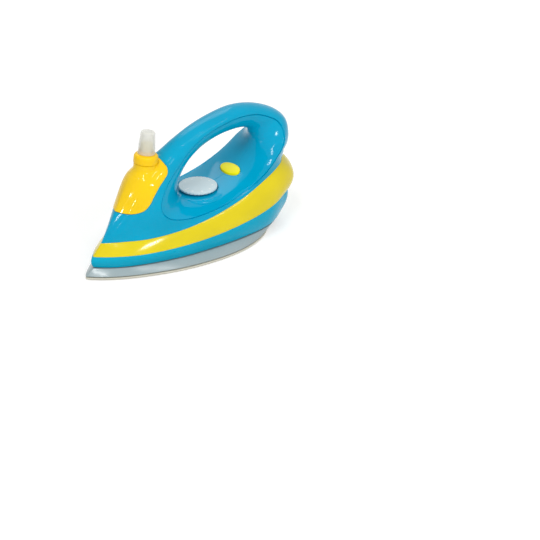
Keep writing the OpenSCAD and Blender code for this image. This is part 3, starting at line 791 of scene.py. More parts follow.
SKIRT_FOOT = [
    [0.040, 0.000], [0.106, 0.284], [0.207, 0.511], [0.346, 0.711], [0.500, 0.814],
    [0.649, 0.836], [0.769, 0.777], [0.851, 0.609], [0.894, 0.375], [0.911, 0.000],
]
SOLE = [
    [0.000, 0.000], [0.067, 0.302], [0.173, 0.591], [0.327, 0.864], [0.471, 0.989],
    [0.596, 1.000], [0.702, 0.886], [0.784, 0.682], [0.834, 0.398], [0.851, 0.000],
]
TANK_LINE = [
    [0.096, 0.000, 0.505], [0.139, 0.000, 0.485], [0.183, 0.000, 0.474], [0.224, 0.000, 0.493],
    [0.251, 0.000, 0.541], [0.269, 0.000, 0.594], [0.296, 0.000, 0.654], [0.327, 0.000, 0.693],
    [0.350, 0.000, 0.722], [0.358, 0.000, 0.758], [0.354, 0.000, 0.790], [0.3525, 0.000, 0.889],
]
SHELL_SCREWS = [[0.202, 0.370, 0.291], [0.433, 0.778, 0.213], [0.894, 0.778, 0.258],
                [0.894, 0.556, 0.407]]
BASE_SCREWS = [[0.202, 0.136], [0.779, 0.318]]
SOLE_SCREWS = [[0.300, 0.000], [0.620, 0.545], [0.620, -0.545]]
DIAL_AT = (0.556, 0.415)
BUTTON_AT = (0.719, 0.491)
PUMP_AT = (0.297, 0.740)
PUMP_TILT = 7.0

DIAL_X = (DIAL_AT[0] - 0.5) * IRON_L
PAD_TOP = DIAL_AT[1] * IRON_H
BUTTON_X = (BUTTON_AT[0] - 0.5) * IRON_L
BUTTON_TOP = BUTTON_AT[1] * IRON_H
ON_PUMP = shift((PUMP_AT[0] - 0.5) * IRON_L, 0, PUMP_AT[1] * IRON_H) @ Matrix.Rotation(
    math.radians(PUMP_TILT), 4, "Y"
)


def nose_to_heel(shares: Shares) -> Curve:
    """Half a row of the hull, whose ends cross the parting plane square."""
    p = place(shares)
    return Curve(p, (0, p[1][1] * NOSE_PULL, 0), (0, -p[-2][1] * HEEL_PULL, 0))


def all_round(half: Curve, steps: int) -> Points:
    """A closed ring from half a row.

    Args:
        half: the row on one side.
        steps: how many points each of its stations gets.

    Returns:
        The ring's points, near side first.
    """
    n = len(half.p) - 1
    s = np.arange(0, n * steps + 1) / steps
    near = half.at(s) * (1, -1, 1)
    far = half.at(s[-2:0:-1])
    return np.concatenate([near, far])


def drawn_in(ring: Points, by: float) -> Points:
    """A ring drawn in towards its middle, in plan.

    Args:
        ring: its points.
        by: how far its widest place moves, in millimetres.

    Returns:
        The smaller ring, at the same heights.
    """
    middle = ring.mean(0)
    share = 1 - 2 * by / IRON_W
    out = middle + (ring - middle) * share
    out[:, 2] = ring[:, 2]
    return out


def at_height(ring: Points, z: float) -> Points:
    """A ring laid flat.

    Args:
        ring: its points.
        z: the height.

    Returns:
        The flat ring.
    """
    out = ring.copy()
    out[:, 2] = z
    return out


def raised(ring: Points, by: float) -> Points:
    """A ring lifted by so much."""
    return ring + (0, 0, by)


def three_way(a: Points, b: Points, c: Points, t: float) -> Points:
    """A ring on the way from a through b to c."""
    return a * (2 * t - 1) * (t - 1) + b * 4 * t * (1 - t) + c * t * (2 * t - 1)


@dataclass
class HandleForm:
    """The lofted form that both blue halves and the tank are cut from.

    A groove as deep as groove runs along the crease, and the dish starts land further in and
    step lower. Points nearer to the parting plane than on_plane lie on it.
    """

    steps: int = 12
    outer_rows: int = 14
    dish_rows: int = 20
    step: float = 0.5
    land: float = 1.0
    groove: float = 1.05
    lip: float = 0.22
    groove_lip: float = 0.16
    beside: int = 2
    on_plane: float = 0.1
    lining_outer: int = 6
    lining_dish: int = 7
    lining_every: int = 2
    lining_apart: float = 0.4
    fold: float = 0.5
    fold_rounds: int = 12
    fold_spread: int = 2
    thinner: float = 0.8
    cut_steps: int = 10
    ridge: Curve = field(init=False)
    edge: Curve = field(init=False)
    crease: Curve = field(init=False)
    opening: Curve = field(init=False)
    full: Curve = field(init=False)
    corner: int = field(init=False)
    around: int = field(init=False)

    def __post_init__(self) -> None:
        """Draws the four lines that the skin runs over."""
        self.ridge = Curve(place(RIDGE))
        self.edge = nose_to_heel(EDGE[::-1])
        self.crease = Curve(place(CREASE), closed=True)
        self.opening = Curve(place(OPENING), closed=True)
        self.full = Curve([f + [0] for f in FULLNESS], closed=True)
        self.corner = len(RIDGE) - 1
        self.around = self.corner + len(EDGE) - 1

    def rim(self, s: Points) -> Points:
        """The shell's rim: the ridge, then the edge on the band back to the nose.

        Args:
            s: stations round the handle.

        Returns:
            One point for each.
        """
        on_ridge = s <= self.corner
        out = np.zeros((len(s), 3))
        out[on_ridge] = self.ridge.at(s[on_ridge])
        out[~on_ridge] = self.edge.at(self.around - s[~on_ridge])
        return out

    def skin(
        self, s: Points, rows: Sequence[float], step: float = 0.0, land: float = 0.0
    ) -> Points:
        """Points of the skin.

        Args:
            s: stations round the handle.
            rows: 0 at the rim to 1 at the crease, and on to 2 at the opening.
            step: how much lower the dish starts than the crease.
            land: how far from the crease it starts.

        Returns:
            An array of stations by rows, on the +Y side.
        """
        o, c, h = self.rim(s), self.crease.at(s), self.opening.at(s)
        w = self.full.at(s)
        start = land / np.hypot(h[:, 0] - c[:, 0], h[:, 2] - c[:, 2])
        out = []
        for row in rows:
            if row <= 1:
                y = row + (math.sin(math.pi / 2 * row) - row) * w[:, 0]
                f = row + (1 - math.cos(math.pi / 2 * row) - row) * w[:, 0]
                at = [o[:, 0] + (c[:, 0] - o[:, 0]) * f,
                      o[:, 1] + (c[:, 1] - o[:, 1]) * y,
                      o[:, 2] + (c[:, 2] - o[:, 2]) * f]
            else:
                f = start + (1 - start) * math.sin(math.pi / 2 * (row - 1)) ** (2 / w[:, 1])
                y = np.sqrt(np.maximum(0, 1 - f ** w[:, 1]))
                at = [c[:, 0] + (h[:, 0] - c[:, 0]) * f,
                      np.maximum(0, c[:, 1] - step) * y,
                      c[:, 2] + (h[:, 2] - c[:, 2]) * f]
            out.append(np.stack(at, axis=1))
        return np.stack(out, axis=1)

    def normals(self, points: Points, wrap: bool = True) -> Points:
        """Outward directions of a skin; those on the parting plane stay in it.

        Args:
            points: an array of stations by rows.
            wrap: whether the last station meets the first.

        Returns:
            One direction for each point.
        """
        if wrap:
            du = np.roll(points, -1, 0) - np.roll(points, 1, 0)
        else:
            du = np.gradient(points, axis=0)
        dv = np.gradient(points, axis=1)
        n = np.cross(du, dv)
        n[..., 1] = np.where(points[..., 1] < self.on_plane, 0, n[..., 1])
        return unit(n)

    def lining(self, s: Points, rows: Sequence[float]) -> Points:
        """The inner face of the wall, thinner where the wall would fold into itself.

        Args:
            s: stations round the handle.
            rows: rows of the skin, as skin() takes them.

        Returns:
            An array of stations by rows, on the +Y side.
        """
        skin = self.skin(s, rows)
        n = self.normals(skin)
        thick = np.full(skin.shape[:2], WALL)
        flat = skin[..., 1] < self.on_plane
        for _ in range(self.fold_rounds):
            inside = skin - thick[..., None] * n
            inside[..., 1] = np.where(flat, 0, np.maximum(self.lining_apart, inside[..., 1]))
            du = np.roll(inside, -1, 0) - np.roll(inside, 1, 0)
            dv = np.gradient(inside, axis=1)
            bad = (unit(np.cross(du, dv)) * n).sum(-1) < self.fold
            near = bad.copy()
            for by in range(-self.fold_spread, self.fold_spread + 1):
                near |= np.roll(bad, by, 0)
            near[:, 1:] |= near[:, :-1].copy()
            near[:, :-1] |= near[:, 1:].copy()
            thick[near & ~flat] *= self.thinner
        return inside

    def half_rows(self) -> list:
        """All rows of one half's closed wall, outside and inside.

        Returns:
            Arrays of points on the +Y side, from the rim to the opening and back within.
        """
        s = np.arange(self.around * self.steps) / self.steps
        outer = [k / self.outer_rows for k in range(self.outer_rows + 1)]
        dish = [1 + k / self.dish_rows for k in range(1, self.dish_rows + 1)]
        just_past_crease = 1 + 1e-6
        skin = self.skin(s, outer + [just_past_crease] + dish, self.step, self.land)
        n = self.normals(skin)
        crease = self.outer_rows
        lining = [0, outer[self.lining_outer]] + dish[self.lining_dish :: self.lining_every]
        inside = self.lining(s, lining)
        middle = (skin[:, crease] + skin[:, crease + 1]) / 2
        up = unit(n[:, crease - self.beside] + n[:, crease + 1 + self.beside])
        rows = [skin[:, k] for k in range(crease + 1)] + [middle - self.groove * up]
        rows += [skin[:, k] for k in range(crease + 1, skin.shape[1])]
        last = len(rows) - 1
        rows += [inside[:, k] for k in range(inside.shape[1] - 1, -1, -1)]
        corners = {0: self.lip, last: self.lip, crease: self.groove_lip,
                   crease + 2: self.groove_lip}
        return softened(rows, corners, True)

    def solid(self, out: float, last: float = 4.7, detail: int = 1) -> bmesh.types.BMesh:
        """The front of the form as a solid, to cut the tank from.

        Args:
            out: how far the skin is moved outwards.
            last: the station of the handle at which the solid ends.
            detail: how many times finer it is than a plain tool.

        Returns:
            The form, in millimetres.
        """
        s = np.linspace(0, last, int(last * self.cut_steps * detail))
        rows = [k / self.outer_rows / detail for k in range(self.outer_rows * detail + 1)]
        skin = self.skin(s, rows)
        skin = skin + out * self.normals(skin, False)
        skin[..., 1] = np.maximum(0, skin[..., 1])
        near = skin * (1, -1, 1)
        ring = np.concatenate([near, skin[:, :0:-1]], axis=1)
        return lofted([ring[i] for i in range(ring.shape[0])], False)


FORM = HandleForm()


def tank_prism(out: float) -> bmesh.types.BMesh:
    """All that lies above the tank's lower edge.

    Args:
        out: how far that edge is moved outwards.

    Returns:
        The form, in millimetres.
    """
    steps = 12
    s = np.arange(0, (len(TANK_LINE) - 1) * steps + 1) / steps
    p = Curve(place(TANK_LINE)).at(s)
    d = np.gradient(p, axis=0)
    p = p + out * unit(np.stack([d[:, 2], 0 * d[:, 0], -d[:, 0]], axis=1))
    front, top = -IRON_L / 2, IRON_H
    outline = [(front, p[0][2])] + [(q[0], q[2]) for q in p] + [(p[-1][0], top), (front, top)]
    bm = bmesh.new()
    face = bm.faces.new([bm.verts.new((x, -IRON_W, z)) for x, z in outline])
    grown = bmesh.ops.extrude_face_region(bm, geom=[face])["geom"]
    bmesh.ops.translate(
        bm, vec=(0, 2 * IRON_W, 0), verts=[v for v in grown if isinstance(v, bmesh.types.BMVert)]
    )
    return bm


@dataclass
class BlueBody:
    """The two halves of the blue body with its grip.

    The round pad under the dial has a shallow well, and its half stops pad_short of the
    parting plane. The button's well starts at button_foot.
    """

    pad_r: float = 22.4
    pad_h: float = 4.4
    pad_run: float = 1.6
    pad_side: float = 0.8
    pad_edge: float = 1.0
    pad_short: float = 0.03
    pad_steps: int = 160
    well_r: float = 16.6
    well_h: float = 0.3
    well_steps: int = 128
    shaft_r: float = 4.06
    button_a: float = 10.7
    button_b: float = 5.6
    button_foot: float = 45.04
    button_clear: float = 4.0
    button_steps: int = 96
    boss_r: float = 4.56
    boss_foot: float = 0.05
    boss_steps: int = 48
    sink_r: float = 3.1
    head_seat: float = 3.2
    tank_gap: float = 0.55

    def pad(self, side: Side) -> bmesh.types.BMesh:
        """Half of the round pad under the dial.

        Args:
            side: which half.

        Returns:
            The form, in millimetres.
        """
        top, r = PAD_TOP, self.pad_r
        profile = rounded(
            [(0, top - self.pad_h), (r + self.pad_run, top - self.pad_h),
             (r + self.pad_run / 2, top - self.pad_h / 2), (r, top - self.pad_side),
             (r - self.pad_edge, top), (0, top)],
            {2: 0.9, 3: 0.7, 4: 0.7},
        )
        bm = moved(turned(profile, self.pad_steps), shift(DIAL_X))
        cut = bmesh.ops.bisect_plane(
            bm, geom=bm.verts[:] + bm.edges[:] + bm.faces[:], clear_inner=True,
            plane_co=(0, self.pad_short * side.value, 0), plane_no=(0, side.value, 0),
        )["geom_cut"]
        bmesh.ops.holes_fill(bm, edges=[e for e in cut if isinstance(e, bmesh.types.BMEdge)])
        return bm

    def across(
        self, share: Sequence[float], r: float, y0: float, y1: float
    ) -> bmesh.types.BMesh:
        """A rod along Y at a shell screw.

        Args:
            share: the screw's place, as shares of the iron's length and height.
            r: the rod's radius.
            y0: where it starts.
            y1: where it ends.

        Returns:
            The form, in millimetres.
        """
        at = shift((share[0] - 0.5) * IRON_L, 0, share[1] * IRON_H)
        return moved(rod(r, y0, y1, self.boss_steps), at @ quarter("X", -1))

    def half(self, side: Side) -> bpy.types.Object:
        """One half, with the cuts for the tank, the dial, the button and the screws.

        Args:
            side: which half. The screws' heads are sunk in the far one.

        Returns:
            The piece.
        """
        name = "shell_near" if side is Side.NEAR else "shell_far"
        rows = [row * (1, side.value, 1) for row in FORM.half_rows()]
        shell = finished(lofted(rows, True), name)
        button = Matrix.Diagonal((self.button_b + FIT, self.button_a + FIT, 1, 1))
        adds = [self.pad(side)]
        cuts = [
            tank_prism(self.tank_gap),
            moved(rod(self.well_r, PAD_TOP - self.well_h, PAD_TOP + 2 * self.pad_h,
                      self.well_steps), shift(DIAL_X)),
            moved(rod(1, self.button_foot, BUTTON_TOP + self.button_clear, self.button_steps),
                  shift(BUTTON_X) @ button),
        ]
        if side is Side.FAR:
            adds += [self.across(s, self.boss_r, self.boss_foot, s[2] * IRON_W / 2)
                     for s in SHELL_SCREWS]
            cuts += [self.across(s, self.sink_r, self.head_seat, IRON_W / 2)
                     for s in SHELL_SCREWS]
        cuts.append(moved(rod(self.shaft_r, PAD_TOP - 2 * self.pad_h, PAD_TOP + OVERRUN),
                          shift(DIAL_X)))
        for form in adds:
            carve(shell, finished(form, "add"), Cut.JOIN)
        for form in cuts:
            carve(shell, finished(form, "cut"), Cut.REMOVE)
        return shell

    def build(self, finish: bpy.types.Material) -> None:
        """Makes and dresses both halves."""
        for side, node in ((Side.NEAR, "left_shell"), (Side.FAR, "right_shell")):
            dressed(self.half(side), finish, "iron", "body_blue", node)


@dataclass
class LowerBody:
    """The sole, its flange, the blue skirt and the yellow band.

    Groove is the dark undercut between sole and flange, seam the one between flange and
    skirt, and lean how far the flange's top edge goes from the sole's outline to the skirt's.
    """

    steps: int = 14
    rod_steps: int = 48
    sole_t: float = 2.5
    sole_round: float = 1.6
    sole_foot: float = 0.8
    sole_rim: float = 3.0
    sole_screw_seat: float = 1.65
    flange_h: float = 6.1
    lean: float = 0.9
    groove: float = 1.1
    groove_in: float = 2.6
    hollow_side: float = 0.5
    base_screw_seat: float = 5.55
    pilot_past_roof: float = 1.2
    head_r: float = 3.1
    post_r: float = 3.7
    pilot_r: float = 1.5
    seam: float = 1.0
    seam_in: float = 2.2
    seam_lip: float = 0.3
    skirt_rows: int = 13
    skirt_inner: tuple = (1, 0.6, 0.3)
    seam_share: float = 0.15
    band_rows: int = 15
    band_gap: float = 0.05
    band_lip: float = 0.3
    band_inner_drop: float = 0.4

    def rings(self) -> dict:
        """Each row of the lower body as a closed ring."""
        rows = {"sole": SOLE, "foot": SKIRT_FOOT, "skirt": SKIRT_MID, "waist": BAND_FOOT,
                "band": BAND_MID, "edge": EDGE[::-1]}
        return {k: all_round(nose_to_heel(v), self.steps) for k, v in rows.items()}

    def screw_rods(self, r: float, shares: Shares, z0: float, z1: float) -> list:
        """Upright rods at screws.

        Args:
            r: the rods' radius.
            shares: the screws' places, as shares of length and half width.
            z0: where the rods start.
            z1: where they end.

        Returns:
            One form for each.
        """
        return [moved(rod(r, z0, z1, self.rod_steps), Matrix.Translation(tuple(p)))
                for p in place([s[:2] for s in shares])]

    def both_sides(self) -> list:
        """The four base screws' places."""
        return [[x, y * k] for x, y in BASE_SCREWS for k in (-1, 1)]

    def plate(self, r: dict) -> bpy.types.Object:
        """The pale sole plate.

        Args:
            r: the rings.

        Returns:
            The piece.
        """
        o, top = r["sole"], self.sole_t
        rows = softened(
            [drawn_in(o, self.sole_round),
             raised(drawn_in(o, self.sole_round / 4), self.sole_foot),
             raised(o, self.sole_round), raised(o, top),
             raised(drawn_in(o, self.sole_rim), top)],
            {1: 0.5, 2: 0.4, 3: 0.35}, False)
        plate = finished(lofted(rows, False), "plate")
        holes = self.screw_rods(self.head_r, self.both_sides(), -OVERRUN, top + OVERRUN)
        holes += self.screw_rods(self.head_r, SOLE_SCREWS, -OVERRUN, self.sole_screw_seat)
        return carve(plate, finished(joined(*holes), "holes"), Cut.REMOVE)

    def flange(self, r: dict) -> bpy.types.Object:
        """The grey flange that slopes from the plate up to the skirt, hollow but for posts.

        Args:
            r: the rings.

        Returns:
            The piece.
        """
        o, foot = r["sole"], r["foot"]
        low, slope_foot = self.sole_t, self.sole_t + self.groove
        high = low + self.flange_h
        top = at_height(o * (1 - self.lean) + foot * self.lean, high)
        inside = drawn_in(o, self.groove_in + WALL)
        rows = softened(
            [at_height(inside, low), at_height(drawn_in(o, self.groove_in), low),
             at_height(drawn_in(o, self.groove_in), slope_foot), at_height(o, slope_foot), top,
             at_height(drawn_in(top, WALL), high)],
            {3: 0.25, 4: 0.4}, False)
        flange = finished(lofted(rows, False), "flange")
        roof = high - WALL
        up = (roof - slope_foot) / (self.flange_h - self.groove)
        hollow = finished(
            lofted([at_height(inside, low - OVERRUN),
                    at_height(inside, slope_foot + self.hollow_side),
                    at_height(drawn_in(o * (1 - up) + top * up, WALL), roof)], False),
            "hollow")
        under = low - 2 * OVERRUN
        posts = self.screw_rods(self.head_r + WALL, self.both_sides(), under, roof + OVERRUN)
        posts += self.screw_rods(self.post_r, SOLE_SCREWS, under, roof + OVERRUN)
        carve(hollow, finished(joined(*posts), "posts"), Cut.REMOVE)
        carve(flange, hollow, Cut.REMOVE)
        holes = self.screw_rods(self.head_r, self.both_sides(), low - OVERRUN,
                                self.base_screw_seat)
        holes += self.screw_rods(self.pilot_r, SOLE_SCREWS, low - OVERRUN,
                                 roof + self.pilot_past_roof)
        return carve(flange, finished(joined(*holes), "holes"), Cut.REMOVE)

    def skirt(self, r: dict) -> bpy.types.Object:
        """The blue skirt, an open tub with a floor.

        Args:
            r: the rings.

        Returns:
            The piece.
        """
        foot = at_height(r["foot"], self.sole_t + self.flange_h)

        def ring(t: float) -> Points:
            """The skirt's outline at a share of the way up."""
            return three_way(foot, r["skirt"], r["waist"], t)

        outer = [ring(t) for t in np.linspace(0, 1, self.skirt_rows)]
        inner = [drawn_in(ring(t), WALL) for t in self.skirt_inner]
        inner.append(raised(drawn_in(foot, WALL), WALL))
        rows = softened(outer + inner, {self.skirt_rows - 1: self.seam_lip}, False)
        edge = rows[0] * (1 - self.seam_share) + rows[1] * self.seam_share
        undercut = [drawn_in(rows[0], self.seam_in + self.seam_lip),
                    drawn_in(raised(rows[0], self.seam), self.seam_in),
                    raised(edge, self.seam)]
        return finished(lofted(undercut + rows[1:], False), "skirt")

    def band(self, r: dict) -> bpy.types.Object:
        """The yellow band between the skirt and the blue body.

        Args:
            r: the rings.

        Returns:
            The piece.
        """
        a, b, c = raised(r["waist"], self.band_gap), r["band"], raised(r["edge"], -self.band_gap)
        outer = [three_way(a, b, c, t) for t in np.linspace(0, 1, self.band_rows)]
        inner = [raised(drawn_in(c, WALL), -self.band_inner_drop), drawn_in(b, WALL),
                 drawn_in(a, WALL)]
        corners = {0: self.band_lip, self.band_rows - 1: self.band_lip}
        return finished(lofted(softened(outer + inner, corners, True), True), "band")

    def build(self, made: dict) -> None:
        """Makes and dresses the four pieces.

        Args:
            made: the materials by name.
        """
        r = self.rings()
        dressed(self.plate(r), made["sole_white"], "iron", "sole_white", "sole_plate")
        dressed(self.flange(r), made["flange_grey"], "iron", "flange_grey", "sole_flange")
        dressed(self.skirt(r), made["skirt_blue"], "iron", "skirt_blue", "lower_skirt")
        dressed(self.band(r), made["band_yellow"], "iron", "band_yellow", "waist_band")


@dataclass
class Tank:
    """The yellow spray tank with its boss, neck and water chamber.

    Its skin stands proud of the blue body's. Heights are along the pump's axis, from the
    point where the tank's boss starts.
    """

    proud: float = 0.35
    wall: float = 1.6
    detail: int = 3
    boss_r: float = 9.6
    boss_h: float = 5.5
    boss_foot: float = -4.5
    boss_rise: float = 0.6
    flare: float = 3.2
    neck_r: float = 7.6
    neck_top: float = 7.5
    chamber_r: float = 11.5
    chamber_foot: float = -32.0
    chamber_top: float = -9.3
    bore_r: float = 9.63
    bore_foot: float = 1.87
    mouth_r: float = 5.2
    clear_r: float = 10.25
    clear_top: float = 34.0
    clear_steps: int = 128

    def build(self, finish: bpy.types.Material) -> None:
        """Makes and dresses the tank.

        Args:
            finish: its material.
        """
        tank = finished(FORM.solid(self.proud, detail=self.detail), "tank")
        carve(tank, finished(tank_prism(0), "trim"), Cut.KEEP)
        clear = moved(rod(self.clear_r, self.boss_h, self.clear_top, self.clear_steps), ON_PUMP)
        carve(tank, finished(clear, "clear"), Cut.REMOVE)
        hollow = finished(FORM.solid(-self.wall), "hollow")
        carve(hollow, finished(tank_prism(-self.wall), "trim"), Cut.KEEP)
        carve(tank, hollow, Cut.REMOVE)
        wide, foot = self.boss_r + self.flare, self.boss_foot
        boss = rounded(
            [(0, foot), (wide, foot), (wide, foot + 1), (self.boss_r, self.boss_rise),
             (self.boss_r, self.boss_h), (self.neck_r, self.boss_h), (self.neck_r, self.neck_top),
             (0, self.neck_top)],
            {2: 0.3, 3: 2.2, 4: 0.5, 6: 0.3})
        chamber = [(0, self.chamber_foot), (self.chamber_r, self.chamber_foot),
                   (self.chamber_r, self.chamber_top), (0, self.chamber_top)]
        floor, step, top = (self.chamber_foot + self.bore_foot, self.chamber_top + OVERRUN,
                            self.neck_top + OVERRUN)
        bore = [(0, floor), (self.bore_r, floor), (self.bore_r, step), (self.mouth_r, step),
                (self.mouth_r, top), (0, top)]
        for name, profile, how in (("boss", boss, Cut.JOIN), ("chamber", chamber, Cut.JOIN),
                                   ("bore", bore, Cut.REMOVE)):
            carve(tank, finished(turned(profile), name, ON_PUMP), how)
        dressed(tank, finish, "iron", "tank_yellow", "spray_tank")


@dataclass
class Sprayer:
    """What shows of the pump: collar, cap, spray head, stem and nozzle.

    Heights are along the pump's axis, from the point where the tank's boss starts. A crown
    is given by how far each point lies in from the side and down from the top.
    """

    steps: int = 128
    stem_steps: int = 64
    nozzle_steps: int = 48
    collar_r: float = 10.0
    collar_bore: float = 7.9
    collar_foot: float = 5.8
    collar_top: float = 13.2
    collar_crown: tuple = ((0.0, 2.4), (0.7, 0.7), (2.4, 0.0))
    spigot_r: float = 6.2
    spigot_bore: float = 5.5
    spigot_h: float = 2.8
    cap_r: float = 7.2
    cap_top_r: float = 6.0
    cap_mouth: float = 6.3
    cap_mouth_h: float = 3.0
    cap_foot: float = 13.5
    cap_h: float = 19.0
    cap_wall: float = 0.9
    cap_lip: float = 0.6
    cap_crown: tuple = ((-0.05, 1.6), (0.5, 0.45), (1.7, 0.0))
    cap_inner_crown: tuple = ((1.6, 0.9), (0.9, 2.0))
    head_r: float = 4.9
    head_bore: float = 1.95
    head_foot: float = 14.6
    head_top: float = 22.1
    head_edge: float = 1.2
    head_dish: float = 0.8
    socket_depth: float = 3.75
    ribs: int = 3
    rib_start: float = 0.9
    rib_pitch: float = 1.3
    rib_depth: float = 0.35
    rib: tuple = ((0, 0.0), (1, 0.15), (1, 0.45), (0, 0.6))
    stem_r: float = 1.9
    stem_bore: float = 0.9
    stem_foot: float = 3.0
    stem_top: float = 18.35
    piston_r: float = 3.34
    piston_top: float = 6.0
    nozzle_r: float = 1.6
    nozzle_l: float = 1.6
    nozzle_bore: float = 0.45
    nozzle_seat_r: float = 1.7
    nozzle_lip: tuple = (1.1, 0.2)
    nozzle_throat: float = 0.7

    def collar(self) -> bmesh.types.BMesh:
        """The screw collar with its low spigot.

        Returns:
            The form, in millimetres.
        """
        r, q, a, b = self.collar_r, self.spigot_r, self.collar_foot, self.collar_top
        rim, step = b + self.spigot_h, b - 1
        profile = [(self.collar_bore, a), (r, a)]
        profile += [(r - inset, b - down) for inset, down in self.collar_crown]
        profile += [(q, b), (q, rim), (self.spigot_bore, rim), (self.spigot_bore, step),
                    (self.collar_bore, step)]
        corners = {1: 0.4, 2: 1.2, 3: 0.9, 4: 0.9, 5: 0.2, 6: 0.25, 7: 0.2}
        return turned(rounded(profile, corners), self.steps)

    def cap(self) -> bmesh.types.BMesh:
        """The frosted cap, open below.

        Returns:
            The form, in millimetres.
        """
        foot, top = self.cap_foot, self.cap_foot + self.cap_h
        r, q = self.cap_r, self.cap_top_r
        profile = [(self.cap_mouth, foot), (r, foot), (r, foot + self.cap_lip)]
        profile += [(q - inset, top - down) for inset, down in self.cap_crown]
        profile += [(0, top), (0, top - self.cap_wall)]
        profile += [(q - inset, top - down) for inset, down in self.cap_inner_crown]
        profile.append((self.cap_mouth, foot + self.cap_mouth_h))
        corners = {1: 0.25, 3: 0.8, 4: 0.6, 5: 0.6, 8: 0.5, 9: 0.5, 10: 0.4}
        return turned(rounded(profile, corners), self.steps)

    def head(self) -> bmesh.types.BMesh:
        """The spray head: ribs round its foot and a dished finger rest on top.

        Returns:
            The form, in millimetres.
        """
        r, a, b = self.head_r, self.head_foot, self.head_top
        socket = b - self.socket_depth
        side = [(self.head_bore, a), (r, a)]
        for k in range(self.ribs):
            z = a + self.rib_start + self.rib_pitch * k
            side += [(r - self.rib_depth * deep, z + up) for deep, up in self.rib]
        side += [(r, b), (r - self.head_edge, b), (0, b - self.head_dish), (0, socket),
                 (self.head_bore, socket)]
        return turned(rounded(side, {1: 0.25, len(side) - 5: 0.5, len(side) - 4: 0.5}))

    def stem(self) -> bmesh.types.BMesh:
        """The hollow stem with its piston."""
        profile = [(self.stem_bore, self.stem_foot), (self.piston_r, self.stem_foot),
                   (self.piston_r, self.piston_top), (self.stem_r, self.piston_top),
                   (self.stem_r, self.stem_top), (self.stem_bore, self.stem_top)]
        return turned(rounded(profile, {1: 0.2, 2: 0.2, 4: 0.2}), self.stem_steps)

    def nozzle_at(self) -> Matrix:
        """The nozzle's place on the head, its axis turned towards the nose."""
        return shift(z=(self.stem_top + self.head_top) / 2) @ quarter("Y", -1)

    def nozzle(self) -> bmesh.types.BMesh:
        """The little round nozzle in the head.

        Returns:
            The form, in millimetres.
        """
        lip_r, sunk = self.nozzle_lip
        back, front = self.head_r - self.nozzle_l, self.head_r - sunk
        profile = [(self.nozzle_bore, back), (self.nozzle_r, back), (self.nozzle_r, front),
                   (lip_r, front), (self.nozzle_bore, self.head_r - self.nozzle_throat)]
        return moved(turned(rounded(profile, {2: 0.15, 3: 0.15}), self.nozzle_steps),
                     self.nozzle_at())

    def build(self, made: dict) -> None:
        """Makes and dresses the pieces.

        Args:
            made: the materials by name.
        """
        dressed(finished(self.collar(), "collar", ON_PUMP), made["collar_yellow"],
                "collar", "collar_yellow", "pump_collar")
        dressed(finished(self.cap(), "cap", ON_PUMP), made["cap_frosted"],
                "cap", "cap_frosted", "spray_cap")
        head = finished(self.head(), "head", ON_PUMP)
        hole = rod(self.nozzle_seat_r, self.head_r - self.nozzle_seat_r, self.head_r + OVERRUN,
                   self.nozzle_steps)
        carve(head, finished(moved(hole, self.nozzle_at()), "hole", ON_PUMP), Cut.REMOVE)
        dressed(head, made["head_cream"], "pump_head", "head_white", "spray_head")
        dressed(finished(self.stem(), "stem", ON_PUMP), made["inner_white"],
                "pump_head", "inner_white", "pump_stem")
        dressed(finished(self.nozzle(), "nozzle", ON_PUMP), made["head_cream"],
                "pump_head", "head_white", "nozzle_insert")


